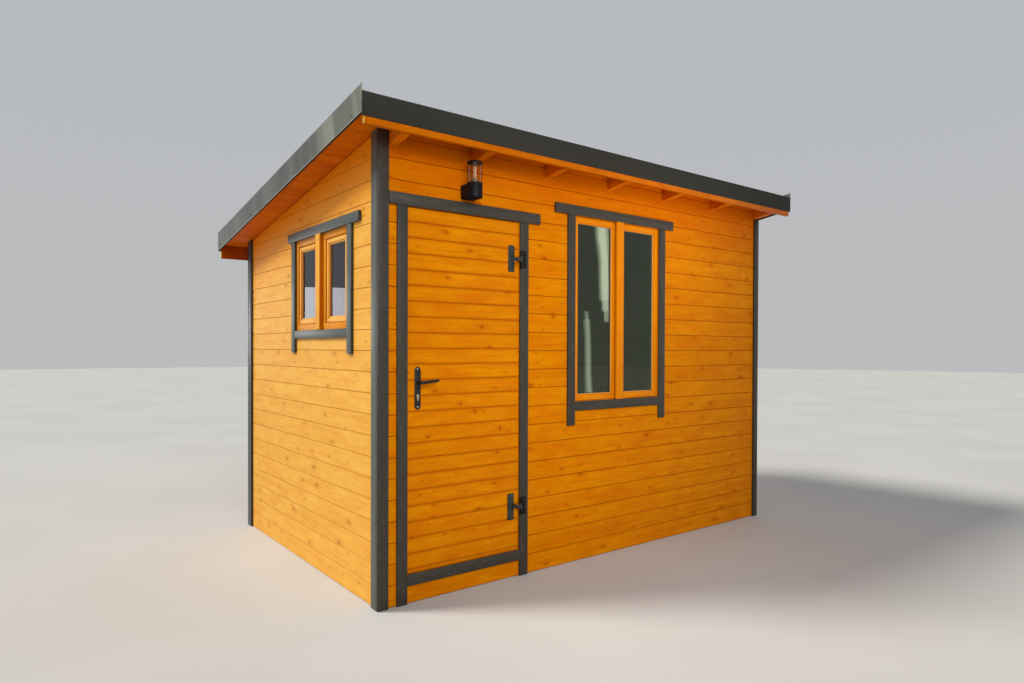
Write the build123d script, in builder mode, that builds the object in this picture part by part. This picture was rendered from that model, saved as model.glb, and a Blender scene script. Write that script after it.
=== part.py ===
from build123d import *
import os

os.makedirs("parts", exist_ok=True)

# ---------------------------------------------------------------------------
# Garden sauna: a small timber cabin with a mono-pitch roof that is high at the
# front and falls to the back.  Millimetres.  Origin: on the ground under the
# middle of the roof.  +X to the right along the front, +Y to the back, +Z up.
# Distances along the front wall (u) are taken from its left corner, distances
# along the side walls (v) from the front corner, both on the wall surfaces.
# ---------------------------------------------------------------------------

# walls
wall_x = 1700.0            # half length of the cabin, outside
wall_y = 1090.0            # half depth of the cabin, outside
wall_t = 90.0              # boards, studs and lining together

# roof
slope = 0.15               # fall towards the back
soffit_z = 2510.0          # underside of the roof boards above the front wall surface
overhang = 190.0           # on all four sides
rafter_w = 45.0
rafter_d = 81.0            # measured upright
roof_board_t = 20.0
insulation_t = 40.5
covering_t = 6.0
sheet = 3.0                # edge flashings
barge_t = 17.0
fascia_t = 27.0
rafter_u = [50.0, 583.0, 1136.0, 1675.0, 2226.0, 2778.0, 3338.0]   # left faces

# trim
trim_t = 15.0
head_t = 18.0

# floor
floor_top = 150.0
floor_board_t = 25.0

# doorway and door
door_u0, door_u1 = 161.0, 925.0        # clear width between the trims
door_z0, door_z1 = 157.0, 2128.0       # clear height between sill and head
lining_t = 29.0
leaf_gap = 5.0
leaf_t = 40.0
stop_v = 46.0                          # where the stops begin, behind the leaf
stop_w = 25.0
pin_u, pin_v = 922.0, -28.0            # hinge pin line
hinge_z = [1905.0, 424.0]

# front window
fw_u0, fw_u1 = 1373.0, 2186.0
fw_z0, fw_z1 = 1030.0, 2225.0
# side window
sw_v0, sw_v1 = 374.0, 1187.0
sw_z0, sw_z1 = 1480.0, 2063.0
cover = 31.0                           # how far the trims lap over the frames
glass_in = 19.0
glass_t = 4.0

# door handle
handle_u = 227.5
lever_z = 1185.0
spindle_r = 9.0

# wall lamp
lamp_u, lamp_v = 545.0, -80.0
lamp_r = 43.0

roof_x = wall_x + overhang
roof_y = wall_y + overhang


def ux(u):
    """u along the front wall to X."""
    return u - wall_x


def vy(v):
    """v along a side wall to Y."""
    return v - wall_y


def soffit(y):
    """Height of the underside of the roof boards at Y."""
    return soffit_z - slope * (y + wall_y)


def rafter_bottom(y):
    return soffit(y) - rafter_d


# ---------------------------------------------------------------------------
# Walls
# ---------------------------------------------------------------------------
yf0, yf1 = -wall_y, -wall_y + wall_t         # front wall
yb0, yb1 = wall_y - wall_t, wall_y           # back wall
xi = wall_x - wall_t                         # inner face of the side walls

# frame openings in the walls, larger than the clear openings by the lining
dr_u0, dr_u1 = door_u0 - lining_t, door_u1 + lining_t
dr_z0, dr_z1 = door_z0 - 34.0, door_z1 + 30.0

with BuildPart() as front_wall_left:
    with BuildSketch(Plane.YZ.offset(-wall_x)):
        with BuildLine():
            Polyline((yf0, 0), (yf1, 0), (yf1, rafter_bottom(yf1)), (yf0, rafter_bottom(yf0)), close=True)
        make_face()
    extrude(amount=dr_u0)
front_wall_left.part.label = "front_wall_left"
export_step(front_wall_left.part, "parts/front_wall_left.step")

with BuildPart() as front_wall_over_door:
    with BuildSketch(Plane.YZ.offset(ux(dr_u0))):
        with BuildLine():
            Polyline((yf0, dr_z1), (yf1, dr_z1), (yf1, rafter_bottom(yf1)), (yf0, rafter_bottom(yf0)), close=True)
        make_face()
    extrude(amount=dr_u1 - dr_u0)
front_wall_over_door.part.label = "front_wall_over_door"
export_step(front_wall_over_door.part, "parts/front_wall_over_door.step")

with BuildPart() as front_wall_under_door:
    with BuildSketch(Plane.YZ.offset(ux(dr_u0))):
        with Locations(((yf0 + yf1) / 2, dr_z0 / 2)):
            Rectangle(wall_t, dr_z0)
    extrude(amount=dr_u1 - dr_u0)
front_wall_under_door.part.label = "front_wall_under_door"
export_step(front_wall_under_door.part, "parts/front_wall_under_door.step")

with BuildPart() as front_wall_right:
    with BuildSketch(Plane.YZ.offset(ux(dr_u1))):
        with BuildLine():
            Polyline((yf0, 0), (yf1, 0), (yf1, rafter_bottom(yf1)), (yf0, rafter_bottom(yf0)), close=True)
        make_face()
    extrude(amount=2 * wall_x - dr_u1)
    with BuildSketch(Plane.XZ.offset(wall_y)):
        with Locations(((ux(fw_u0) + ux(fw_u1)) / 2, (fw_z0 + fw_z1) / 2)):
            Rectangle(fw_u1 - fw_u0 + 2 * cover, fw_z1 - fw_z0 + 2 * cover)
    extrude(amount=-wall_t, mode=Mode.SUBTRACT)
front_wall_right.part.label = "front_wall_right"
export_step(front_wall_right.part, "parts/front_wall_right.step")

with BuildPart() as left_wall:
    # up to the rafters over its full thickness, and past the end rafter's
    # outer face up to the roof boards
    with BuildSketch(Plane.YZ.offset(-wall_x)):
        with BuildLine():
            Polyline((yf1, 0), (yb0, 0), (yb0, rafter_bottom(yb0)), (yf1, rafter_bottom(yf1)), close=True)
        make_face()
    extrude(amount=wall_t)
    with BuildSketch(Plane.YZ.offset(-wall_x)):
        with BuildLine():
            Polyline((yf1, 1000), (yb0, 1000), (yb0, soffit(yb0)), (yf1, soffit(yf1)), close=True)
        make_face()
    extrude(amount=rafter_u[0])
    with BuildSketch(Plane.YZ.offset(-wall_x)):
        with Locations(((vy(sw_v0) + vy(sw_v1)) / 2, (sw_z0 + sw_z1) / 2)):
            Rectangle(sw_v1 - sw_v0 + 2 * cover, sw_z1 - sw_z0 + 2 * cover)
    extrude(amount=wall_t, mode=Mode.SUBTRACT)
left_wall.part.label = "left_wall"
export_step(left_wall.part, "parts/left_wall.step")

end_rafter_out = rafter_u[-1] + rafter_w       # outer face of the last rafter
with BuildPart() as right_wall:
    with BuildSketch(Plane.YZ.offset(xi)):
        with BuildLine():
            Polyline((yf1, 0), (yb0, 0), (yb0, rafter_bottom(yb0)), (yf1, rafter_bottom(yf1)), close=True)
        make_face()
    extrude(amount=wall_t)
    with BuildSketch(Plane.YZ.offset(ux(end_rafter_out))):
        with BuildLine():
            Polyline((yf1, 1000), (yb0, 1000), (yb0, soffit(yb0)), (yf1, soffit(yf1)), close=True)
        make_face()
    extrude(amount=2 * wall_x - end_rafter_out)
right_wall.part.label = "right_wall"
export_step(right_wall.part, "parts/right_wall.step")

with BuildPart() as back_wall:
    with BuildSketch(Plane.YZ.offset(-wall_x)):
        with BuildLine():
            Polyline((yb0, 0), (yb1, 0), (yb1, rafter_bottom(yb1)), (yb0, rafter_bottom(yb0)), close=True)
        make_face()
    extrude(amount=2 * wall_x)
back_wall.part.label = "back_wall"
export_step(back_wall.part, "parts/back_wall.step")

# blocks that close the wall between the rafters, front and back
block_edges = [0.0] + [e for u in rafter_u for e in (u, u + rafter_w)] + [2 * wall_x]
with BuildPart() as eaves_blocks:
    for y0, y1 in ((yf0, yf1), (yb0, yb1)):
        for i in range(0, len(block_edges), 2):
            u0, u1 = block_edges[i], block_edges[i + 1]
            with BuildSketch(Plane.YZ.offset(ux(u0))):
                with BuildLine():
                    Polyline((y0, rafter_bottom(y0)), (y1, rafter_bottom(y1)), (y1, soffit(y1)), (y0, soffit(y0)), close=True)
                make_face()
            extrude(amount=u1 - u0)
eaves_blocks.part.label = "eaves_blocks"
export_step(eaves_blocks.part, "parts/eaves_blocks.step")

# ---------------------------------------------------------------------------
# Floor
# ---------------------------------------------------------------------------
with BuildPart() as floor_boards:
    with BuildSketch(Plane.XY.offset(floor_top - floor_board_t)):
        Rectangle(2 * xi, yb0 - yf1)
    extrude(amount=floor_board_t)
floor_boards.part.label = "floor_boards"
export_step(floor_boards.part, "parts/floor_boards.step")

with BuildPart() as floor_joists:
    with BuildSketch(Plane.XY):
        with GridLocations(700, 1, 5, 1):
            Rectangle(60, yb0 - yf1)
    extrude(amount=floor_top - floor_board_t)
floor_joists.part.label = "floor_joists"
export_step(floor_joists.part, "parts/floor_joists.step")

# ---------------------------------------------------------------------------
# Roof
# ---------------------------------------------------------------------------
ry = roof_y - sheet - fascia_t          # back of the fascias
rx = roof_x - sheet - barge_t           # inside of the barge boards
board_top = roof_board_t
under_cover = roof_board_t + insulation_t
cover_top = under_cover + covering_t

with BuildPart() as rafters:
    for u in rafter_u:
        with BuildSketch(Plane.YZ.offset(ux(u))):
            with BuildLine():
                Polyline((-ry, rafter_bottom(-ry)), (ry, rafter_bottom(ry)), (ry, soffit(ry)), (-ry, soffit(-ry)), close=True)
            make_face()
        extrude(amount=rafter_w)
rafters.part.label = "rafters"
export_step(rafters.part, "parts/rafters.step")

with BuildPart() as roof_boards:
    with BuildSketch(Plane.YZ.offset(-rx)):
        with BuildLine():
            Polyline((-ry, soffit(-ry)), (ry, soffit(ry)), (ry, soffit(ry) + board_top), (-ry, soffit(-ry) + board_top), close=True)
        make_face()
    extrude(amount=2 * rx)
roof_boards.part.label = "roof_boards"
export_step(roof_boards.part, "parts/roof_boards.step")

with BuildPart() as roof_insulation:
    with BuildSketch(Plane.YZ.offset(-rx)):
        with BuildLine():
            Polyline((-ry, soffit(-ry) + board_top), (ry, soffit(ry) + board_top), (ry, soffit(ry) + under_cover), (-ry, soffit(-ry) + under_cover), close=True)
        make_face()
    extrude(amount=2 * rx)
roof_insulation.part.label = "roof_insulation"
export_step(roof_insulation.part, "parts/roof_insulation.step")

cy = roof_y - sheet                     # inside of the front and back flashings
cx = roof_x - sheet                     # inside of the verge flashings
with BuildPart() as roof_covering:
    with BuildSketch(Plane.YZ.offset(-cx)):
        with BuildLine():
            Polyline((-cy, soffit(-cy) + under_cover), (cy, soffit(cy) + under_cover), (cy, soffit(cy) + cover_top), (-cy, soffit(-cy) + cover_top), close=True)
        make_face()
    extrude(amount=2 * cx)
roof_covering.part.label = "roof_covering"
export_step(roof_covering.part, "parts/roof_covering.step")

front_fascia_z = 2454.0
back_fascia_z = 2060.0
with BuildPart() as fascia_boards:
    with BuildSketch(Plane.YZ.offset(-rx)):
        with BuildLine():
            Polyline((-cy, front_fascia_z), (-ry, front_fascia_z), (-ry, soffit(-ry) + under_cover), (-cy, soffit(-cy) + under_cover), close=True)
        make_face()
        with BuildLine():
            Polyline((ry, back_fascia_z), (cy, back_fascia_z), (cy, soffit(cy) + under_cover), (ry, soffit(ry) + under_cover), close=True)
        make_face()
    extrude(amount=2 * rx)
fascia_boards.part.label = "fascia_boards"
export_step(fascia_boards.part, "parts/fascia_boards.step")

barge_drop = 24.0
with BuildPart() as barge_boards:
    for x0 in (-cx, rx):
        with BuildSketch(Plane.YZ.offset(x0)):
            with BuildLine():
                Polyline((-cy, soffit(-cy) - barge_drop), (cy, soffit(cy) - barge_drop), (cy, soffit(cy) + under_cover), (-cy, soffit(-cy) + under_cover), close=True)
            make_face()
        extrude(amount=barge_t)
barge_boards.part.label = "barge_boards"
export_step(barge_boards.part, "parts/barge_boards.step")

# edge flashings: bent sheet with a flange that lies on the covering
flange = 60.0
front_flashing_z = 2488.0
back_flashing_z = 2117.0
with BuildPart() as front_flashing:
    with BuildSketch(Plane.YZ.offset(-cx)):
        with BuildLine():
            Polyline(
                (-roof_y, front_flashing_z), (-cy, front_flashing_z), (-cy, soffit(-cy) + cover_top),
                (-cy + flange, soffit(-cy + flange) + cover_top), (-cy + flange, soffit(-cy + flange) + cover_top + sheet),
                (-roof_y, soffit(-roof_y) + cover_top + sheet), close=True)
        make_face()
    extrude(amount=2 * cx)
front_flashing.part.label = "front_flashing"
export_step(front_flashing.part, "parts/front_flashing.step")

with BuildPart() as back_flashing:
    with BuildSketch(Plane.YZ.offset(-cx)):
        with BuildLine():
            Polyline(
                (roof_y, back_flashing_z), (cy, back_flashing_z), (cy, soffit(cy) + cover_top),
                (cy - flange, soffit(cy - flange) + cover_top), (cy - flange, soffit(cy - flange) + cover_top + sheet),
                (roof_y, soffit(roof_y) + cover_top + sheet), close=True)
        make_face()
    extrude(amount=2 * cx)
back_flashing.part.label = "back_flashing"
export_step(back_flashing.part, "parts/back_flashing.step")

# verge flashings: they hang below the soffit line and stand up above the covering
verge_low, verge_high = -34.0, 105.0
fy = cy - flange - 1.0
with BuildPart() as verge_flashings:
    for side in (-1, 1):
        x0 = -roof_x if side < 0 else cx
        with BuildSketch(Plane.YZ.offset(x0)):
            with BuildLine():
                Polyline((-roof_y, soffit(-roof_y) + verge_low), (roof_y, soffit(roof_y) + verge_low), (roof_y, soffit(roof_y) + verge_high), (-roof_y, soffit(-roof_y) + verge_high), close=True)
            make_face()
        extrude(amount=sheet)
        x1 = -cx if side < 0 else cx - flange
        with BuildSketch(Plane.YZ.offset(x1)):
            with BuildLine():
                Polyline((-fy, soffit(-fy) + cover_top), (fy, soffit(fy) + cover_top), (fy, soffit(fy) + cover_top + sheet), (-fy, soffit(-fy) + cover_top + sheet), close=True)
            make_face()
        extrude(amount=flange)
verge_flashings.part.label = "verge_flashings"
export_step(verge_flashings.part, "parts/verge_flashings.step")

# ---------------------------------------------------------------------------
# Corner trims: on each corner a board on the front or back face, which laps
# over the edge of the board on the side face
# ---------------------------------------------------------------------------
front_lap_w = 64.0          # left boards on the front and back
end_lap_w = 54.0            # right boards on the front and back
side_lap_w = 65.0
tp = trim_t

with BuildPart() as corner_trims_front_back:
    # the left boards run up to the roof boards, the right ones stop under the rafter
    for x0, w, top_at in ((-wall_x - tp, front_lap_w, soffit), (wall_x + tp - end_lap_w, end_lap_w, rafter_bottom)):
        for y0, y1 in ((yf0 - tp, yf0), (yb1, yb1 + tp)):
            with BuildSketch(Plane.YZ.offset(x0)):
                with BuildLine():
                    Polyline((y0, 0), (y1, 0), (y1, top_at(y1) - 1), (y0, top_at(y0) - 1), close=True)
                make_face()
            extrude(amount=w)
corner_trims_front_back.part.label = "corner_trims_front_back"
export_step(corner_trims_front_back.part, "parts/corner_trims_front_back.step")

with BuildPart() as corner_trims_sides:
    for x0 in (-wall_x - tp, wall_x):
        for y0 in (-wall_y, wall_y - side_lap_w):
            with BuildSketch(Plane.YZ.offset(x0)):
                with BuildLine():
                    Polyline((y0, 0), (y0 + side_lap_w, 0), (y0 + side_lap_w, soffit(y0 + side_lap_w) - 1), (y0, soffit(y0) - 1), close=True)
                make_face()
            extrude(amount=tp)
corner_trims_sides.part.label = "corner_trims_sides"
export_step(corner_trims_sides.part, "parts/corner_trims_sides.step")

# ---------------------------------------------------------------------------
# Doorway: lining with stops, and trims on the wall face
# ---------------------------------------------------------------------------
with BuildPart() as door_jambs:
    with BuildSketch(Plane.XY.offset(door_z0)):
        with BuildLine():
            Polyline(
                (ux(dr_u0), vy(0)), (ux(door_u0), vy(0)), (ux(door_u0), vy(stop_v)), (ux(door_u0 + stop_w), vy(stop_v)),
                (ux(door_u0 + stop_w), vy(wall_t)), (ux(dr_u0), vy(wall_t)), close=True)
        make_face()
        with BuildLine():
            Polyline(
                (ux(dr_u1), vy(0)), (ux(door_u1), vy(0)), (ux(door_u1), vy(stop_v)), (ux(door_u1 - stop_w), vy(stop_v)),
                (ux(door_u1 - stop_w), vy(wall_t)), (ux(dr_u1), vy(wall_t)), close=True)
        make_face()
    extrude(amount=door_z1 - door_z0)
door_jambs.part.label = "door_jambs"
export_step(door_jambs.part, "parts/door_jambs.step")

with BuildPart() as door_head_and_sill:
    with BuildSketch(Plane.YZ.offset(ux(dr_u0))):
        with Locations((vy(wall_t / 2), (door_z1 + dr_z1) / 2), (vy(wall_t / 2), (dr_z0 + door_z0) / 2)):
            Rectangle(wall_t, 30.0)
    extrude(amount=dr_u1 - dr_u0)
    with BuildSketch(Plane.YZ.offset(ux(dr_u0))):
        with Locations((vy(wall_t / 2), (dr_z0 + door_z0) / 2)):
            Rectangle(wall_t, door_z0 - dr_z0)
    extrude(amount=dr_u1 - dr_u0)
    with BuildSketch(Plane.YZ.offset(ux(door_u0 + stop_w))):
        with Locations((vy((stop_v + wall_t) / 2), door_z1 - stop_w / 2)):
            Rectangle(wall_t - stop_v, stop_w)
    extrude(amount=door_u1 - door_u0 - 2 * stop_w)
door_head_and_sill.part.label = "door_head_and_sill"
export_step(door_head_and_sill.part, "parts/door_head_and_sill.step")

trim_w = 61.0
with BuildPart() as door_side_trims:
    with BuildSketch(Plane.XY):
        with Locations((ux(door_u0 - trim_w / 2), vy(-tp / 2)), (ux(door_u1 + trim_w / 2), vy(-tp / 2))):
            Rectangle(trim_w, tp)
    extrude(amount=door_z1)
door_side_trims.part.label = "door_side_trims"
export_step(door_side_trims.part, "parts/door_side_trims.step")

door_head_u0, door_head_u1, door_head_h = 50.0, 1077.0, 64.0
door_foot_z = 96.0
with BuildPart() as door_head_and_foot_trims:
    with BuildSketch(Plane.XZ.offset(wall_y)):
        with Locations(((ux(door_head_u0) + ux(door_head_u1)) / 2, door_z1 + door_head_h / 2)):
            Rectangle(door_head_u1 - door_head_u0, door_head_h)
    extrude(amount=head_t)
    with BuildSketch(Plane.XZ.offset(wall_y)):
        with Locations(((ux(door_u0) + ux(door_u1)) / 2, (door_foot_z + door_z0) / 2)):
            Rectangle(door_u1 - door_u0, door_z0 - door_foot_z)
    extrude(amount=tp)
door_head_and_foot_trims.part.label = "door_head_and_foot_trims"
export_step(door_head_and_foot_trims.part, "parts/door_head_and_foot_trims.step")

# ---------------------------------------------------------------------------
# Door leaf and its fittings
# ---------------------------------------------------------------------------
leaf_u0, leaf_u1 = door_u0 + leaf_gap + 1.0, door_u1 - leaf_gap
leaf_bevel = 3.5            # the lock edge is bevelled so that it clears the jamb
leaf_z0, leaf_z1 = door_z0 + leaf_gap, door_z1 - leaf_gap
with BuildPart() as door_leaf:
    with BuildSketch(Plane.XY.offset(leaf_z0)):
        with BuildLine():
            Polyline(
                (ux(leaf_u0), vy(0)), (ux(leaf_u1), vy(0)), (ux(leaf_u1), vy(leaf_t)), (ux(leaf_u0 + leaf_bevel), vy(leaf_t)),
                close=True)
        make_face()
    extrude(amount=leaf_z1 - leaf_z0)
    # hole for the lever's spindle
    with BuildSketch(Plane.XZ.offset(wall_y)):
        with Locations((ux(handle_u), lever_z)):
            Circle(spindle_r + 0.06)
    extrude(amount=-leaf_t, mode=Mode.SUBTRACT)
door_leaf.part.label = "door_leaf"
export_step(door_leaf.part, "parts/door_leaf.step")

# hinges: a tall plate on the leaf with a cranked arm that ends in the middle
# knuckle; a shorter plate on the trim carries the outer knuckles and the pin
strap_t = 4.0
knuckle_r = 8.0
pin_r = 4.0
arm_h = 34.0
plate_u0, plate_u1, plate_h = 840.0, 886.0, 158.0
jamb_plate_t = 3.0
jamb_u0, jamb_u1, jamb_h = 926.0, 966.0, 102.0
arm_v0, arm_v1 = pin_v - 2.0, pin_v + 2.0

with BuildPart() as hinge_straps:
    for zc in hinge_z:
        with BuildSketch(Plane.XZ.offset(wall_y)):
            with Locations(((ux(plate_u0) + ux(plate_u1)) / 2, zc)):
                RectangleRounded(plate_u1 - plate_u0, plate_h, 9.0)
        extrude(amount=strap_t)
        with BuildSketch(Plane.XY.offset(zc - arm_h / 2)):
            with BuildLine():
                Polyline(
                    (ux(plate_u1 - 8), vy(0)), (ux(plate_u1 - 8), vy(-strap_t)), (ux(plate_u1), vy(-strap_t)),
                    (ux(902), vy(arm_v0)), (ux(pin_u), vy(arm_v0)), (ux(pin_u), vy(arm_v1)), (ux(904), vy(arm_v1)),
                    (ux(plate_u1 + 3), vy(0)), close=True)
            make_face()
            with Locations((ux(pin_u), vy(pin_v))):
                Circle(knuckle_r)
        extrude(amount=arm_h)
        with BuildSketch(Plane.XY.offset(zc - arm_h / 2 - 1)):
            with Locations((ux(pin_u), vy(pin_v))):
                Circle(pin_r + 0.05)
        extrude(amount=arm_h + 2, mode=Mode.SUBTRACT)
hinge_straps.part.label = "hinge_straps"
export_step(hinge_straps.part, "parts/hinge_straps.step")

with BuildPart() as hinge_jamb_plates:
    for zc in hinge_z:
        with BuildSketch(Plane.XZ.offset(wall_y + tp)):
            with Locations(((ux(jamb_u0) + ux(jamb_u1)) / 2, zc)):
                RectangleRounded(jamb_u1 - jamb_u0, jamb_h, 6.0)
        extrude(amount=jamb_plate_t)
        gap_h = arm_h + 2.0
        kn_h = (jamb_h - gap_h) / 2
        for z0 in (zc - jamb_h / 2, zc + gap_h / 2):
            with BuildSketch(Plane.XY.offset(z0)):
                with Locations((ux(pin_u), vy(pin_v))):
                    Circle(knuckle_r)
                with Locations((ux(pin_u + 5.0), vy((pin_v - tp - jamb_plate_t) / 2))):
                    Rectangle(knuckle_r + 2.0, -tp - jamb_plate_t - pin_v)
            extrude(amount=kn_h)
        with BuildSketch(Plane.XY.offset(zc - jamb_h / 2 - 2)):
            with Locations((ux(pin_u), vy(pin_v))):
                Circle(pin_r)
        extrude(amount=jamb_h + 4)
hinge_jamb_plates.part.label = "hinge_jamb_plates"
export_step(hinge_jamb_plates.part, "parts/hinge_jamb_plates.step")

# handle: a long plate with a lever and a profile cylinder, outside and inside
plate_w, plate_len, plate_z = 36.0, 232.0, 1154.0
plate_t = 5.0
with BuildPart() as handle_plates:
    for v0 in (-plate_t, leaf_t):
        with BuildSketch(Plane.XZ.offset(-vy(v0) - plate_t)):
            with Locations((ux(handle_u), plate_z)):
                SlotOverall(plate_len, plate_w, rotation=90)
            with Locations((ux(handle_u), lever_z)):
                Circle(spindle_r + 0.06, mode=Mode.SUBTRACT)
        extrude(amount=plate_t)
handle_plates.part.label = "handle_plates"
export_step(handle_plates.part, "parts/handle_plates.step")

lever_len, lever_rise, lever_t = 102.0, 12.0, 13.0
lever_out = 43.0
lever_end = lever_out + lever_t
with BuildPart() as handle_levers:
    # one spindle through the leaf carries the outer and the inner lever
    with BuildSketch(Plane.XZ.offset(-vy(leaf_t + lever_end))):
        with Locations((ux(handle_u), lever_z)):
            Circle(spindle_r)
    extrude(amount=leaf_t + 2 * lever_end)
    for v1 in (-lever_out, leaf_t + lever_end):
        with BuildSketch(Plane.XZ.offset(-vy(v1))):
            with Locations((ux(handle_u), lever_z)):
                Circle(10.5)
            with Locations((ux(handle_u) + lever_len, lever_z + lever_rise)):
                Circle(6.5)
            make_hull()
        extrude(amount=lever_t)
handle_levers.part.label = "handle_levers"
export_step(handle_levers.part, "parts/handle_levers.step")

cyl_z = 1113.0
with BuildPart() as lock_cylinder:
    for v0 in (-plate_t - 3.0, leaf_t + plate_t):
        with BuildSketch(Plane.XZ.offset(-vy(v0) - 3.0)):
            with Locations((ux(handle_u), cyl_z)):
                Circle(8.5)
            with Locations((ux(handle_u), cyl_z - 16.5)):
                SlotOverall(27.0, 10.0, rotation=90)
        extrude(amount=3.0)
lock_cylinder.part.label = "lock_cylinder"
export_step(lock_cylinder.part, "parts/lock_cylinder.step")

# ---------------------------------------------------------------------------
# Front window: fixed frame with a middle post and a proud cover strip, two
# sashes and their panes
# ---------------------------------------------------------------------------
frame_d = 74.0
sash_front, sash_t = 6.0, 44.0
strip_t = 22.0
strip_w = 68.0
bar = 42.0
fw_uc = (fw_u0 + fw_u1) / 2
fw_zc = (fw_z0 + fw_z1) / 2
post_w = 24.0
sash_gap = 2.0
lip = 1.0                  # the frame shows this much inside the head and foot trims

with BuildPart() as front_window_frame:
    with BuildSketch(Plane.XZ.offset(wall_y)):
        with Locations((ux(fw_uc), fw_zc)):
            Rectangle(fw_u1 - fw_u0 + 2 * cover, fw_z1 - fw_z0 + 2 * cover)
            Rectangle(fw_u1 - fw_u0, fw_z1 - fw_z0 - 2 * lip, mode=Mode.SUBTRACT)
            Rectangle(post_w, fw_z1 - fw_z0)
    extrude(amount=-frame_d)
    with BuildSketch(Plane.XZ.offset(wall_y)):
        with Locations((ux(fw_uc), fw_zc)):
            Rectangle(strip_w, fw_z1 - fw_z0)
    extrude(amount=strip_t)
front_window_frame.part.label = "front_window_frame"
export_step(front_window_frame.part, "parts/front_window_frame.step")

fs_w = (fw_u1 - fw_u0 - post_w) / 2 - 2 * sash_gap
fs_h = fw_z1 - fw_z0 - 2 * lip - 2 * sash_gap
fs_u = [fw_u0 + sash_gap + fs_w / 2, fw_u1 - sash_gap - fs_w / 2]
with BuildPart() as front_window_sashes:
    with BuildSketch(Plane.XZ.offset(wall_y - sash_front)):
        with Locations((ux(fs_u[0]), fw_zc), (ux(fs_u[1]), fw_zc)):
            Rectangle(fs_w, fs_h)
            Rectangle(fs_w - 2 * bar, fs_h - 2 * bar, mode=Mode.SUBTRACT)
    extrude(amount=-sash_t)
front_window_sashes.part.label = "front_window_sashes"
export_step(front_window_sashes.part, "parts/front_window_sashes.step")

with BuildPart() as front_window_glass:
    with BuildSketch(Plane.XZ.offset(wall_y - glass_in)):
        with Locations((ux(fs_u[0]), fw_zc), (ux(fs_u[1]), fw_zc)):
            Rectangle(fs_w - 2 * bar, fs_h - 2 * bar)
    extrude(amount=-glass_t)
front_window_glass.part.label = "front_window_glass"
export_step(front_window_glass.part, "parts/front_window_glass.step")

fw_trim_w = 61.0
fw_trim_z0 = 880.0
with BuildPart() as front_window_side_trims:
    with BuildSketch(Plane.XY.offset(fw_trim_z0)):
        with Locations((ux(fw_u0 - fw_trim_w / 2), vy(-tp / 2)), (ux(fw_u1 + fw_trim_w / 2), vy(-tp / 2))):
            Rectangle(fw_trim_w, tp)
    extrude(amount=fw_z1 - fw_trim_z0)
front_window_side_trims.part.label = "front_window_side_trims"
export_step(front_window_side_trims.part, "parts/front_window_side_trims.step")

fw_head_u0, fw_head_u1, fw_head_h, fw_foot_h = 1203.0, 2331.0, 61.0, 59.0
with BuildPart() as front_window_head_and_foot_trims:
    with BuildSketch(Plane.XZ.offset(wall_y)):
        with Locations(((ux(fw_head_u0) + ux(fw_head_u1)) / 2, fw_z1 + fw_head_h / 2)):
            Rectangle(fw_head_u1 - fw_head_u0, fw_head_h)
    extrude(amount=head_t)
    with BuildSketch(Plane.XZ.offset(wall_y)):
        with Locations((ux(fw_uc), fw_z0 - fw_foot_h / 2)):
            Rectangle(fw_u1 - fw_u0, fw_foot_h)
    extrude(amount=tp)
front_window_head_and_foot_trims.part.label = "front_window_head_and_foot_trims"
export_step(front_window_head_and_foot_trims.part, "parts/front_window_head_and_foot_trims.step")

# ---------------------------------------------------------------------------
# Side window, in the left wall: the frame shows as a wide casing round the
# sashes, and the middle post is wide too
# ---------------------------------------------------------------------------
sw_vc = (sw_v0 + sw_v1) / 2
sw_zc = (sw_z0 + sw_z1) / 2
case_v, case_z = 35.0, 40.0
side_post = 155.0
side_bar = 34.0
in_w = sw_v1 - sw_v0 - 2 * case_v
in_h = sw_z1 - sw_z0 - 2 * case_z

with BuildPart() as side_window_frame:
    with BuildSketch(Plane.YZ.offset(-wall_x)):
        with Locations((vy(sw_vc), sw_zc)):
            Rectangle(sw_v1 - sw_v0 + 2 * cover, sw_z1 - sw_z0 + 2 * cover)
            Rectangle(in_w, in_h, mode=Mode.SUBTRACT)
            Rectangle(side_post, in_h)
    extrude(amount=frame_d)
    with BuildSketch(Plane.YZ.offset(-wall_x)):
        with Locations((vy(sw_vc), sw_zc)):
            Rectangle(strip_w, sw_z1 - sw_z0)
    extrude(amount=-strip_t)
side_window_frame.part.label = "side_window_frame"
export_step(side_window_frame.part, "parts/side_window_frame.step")

side_gap = 3.0
ss_w = (in_w - side_post) / 2 - 2 * side_gap
ss_h = in_h - 2 * side_gap
ss_v = [sw_v0 + case_v + side_gap + ss_w / 2, sw_v1 - case_v - side_gap - ss_w / 2]
with BuildPart() as side_window_sashes:
    with BuildSketch(Plane.YZ.offset(-wall_x + sash_front)):
        with Locations((vy(ss_v[0]), sw_zc), (vy(ss_v[1]), sw_zc)):
            Rectangle(ss_w, ss_h)
            Rectangle(ss_w - 2 * side_bar, ss_h - 2 * side_bar, mode=Mode.SUBTRACT)
    extrude(amount=sash_t)
side_window_sashes.part.label = "side_window_sashes"
export_step(side_window_sashes.part, "parts/side_window_sashes.step")

with BuildPart() as side_window_glass:
    with BuildSketch(Plane.YZ.offset(-wall_x + glass_in)):
        with Locations((vy(ss_v[0]), sw_zc), (vy(ss_v[1]), sw_zc)):
            Rectangle(ss_w - 2 * side_bar, ss_h - 2 * side_bar)
    extrude(amount=glass_t)
side_window_glass.part.label = "side_window_glass"
export_step(side_window_glass.part, "parts/side_window_glass.step")

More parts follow.
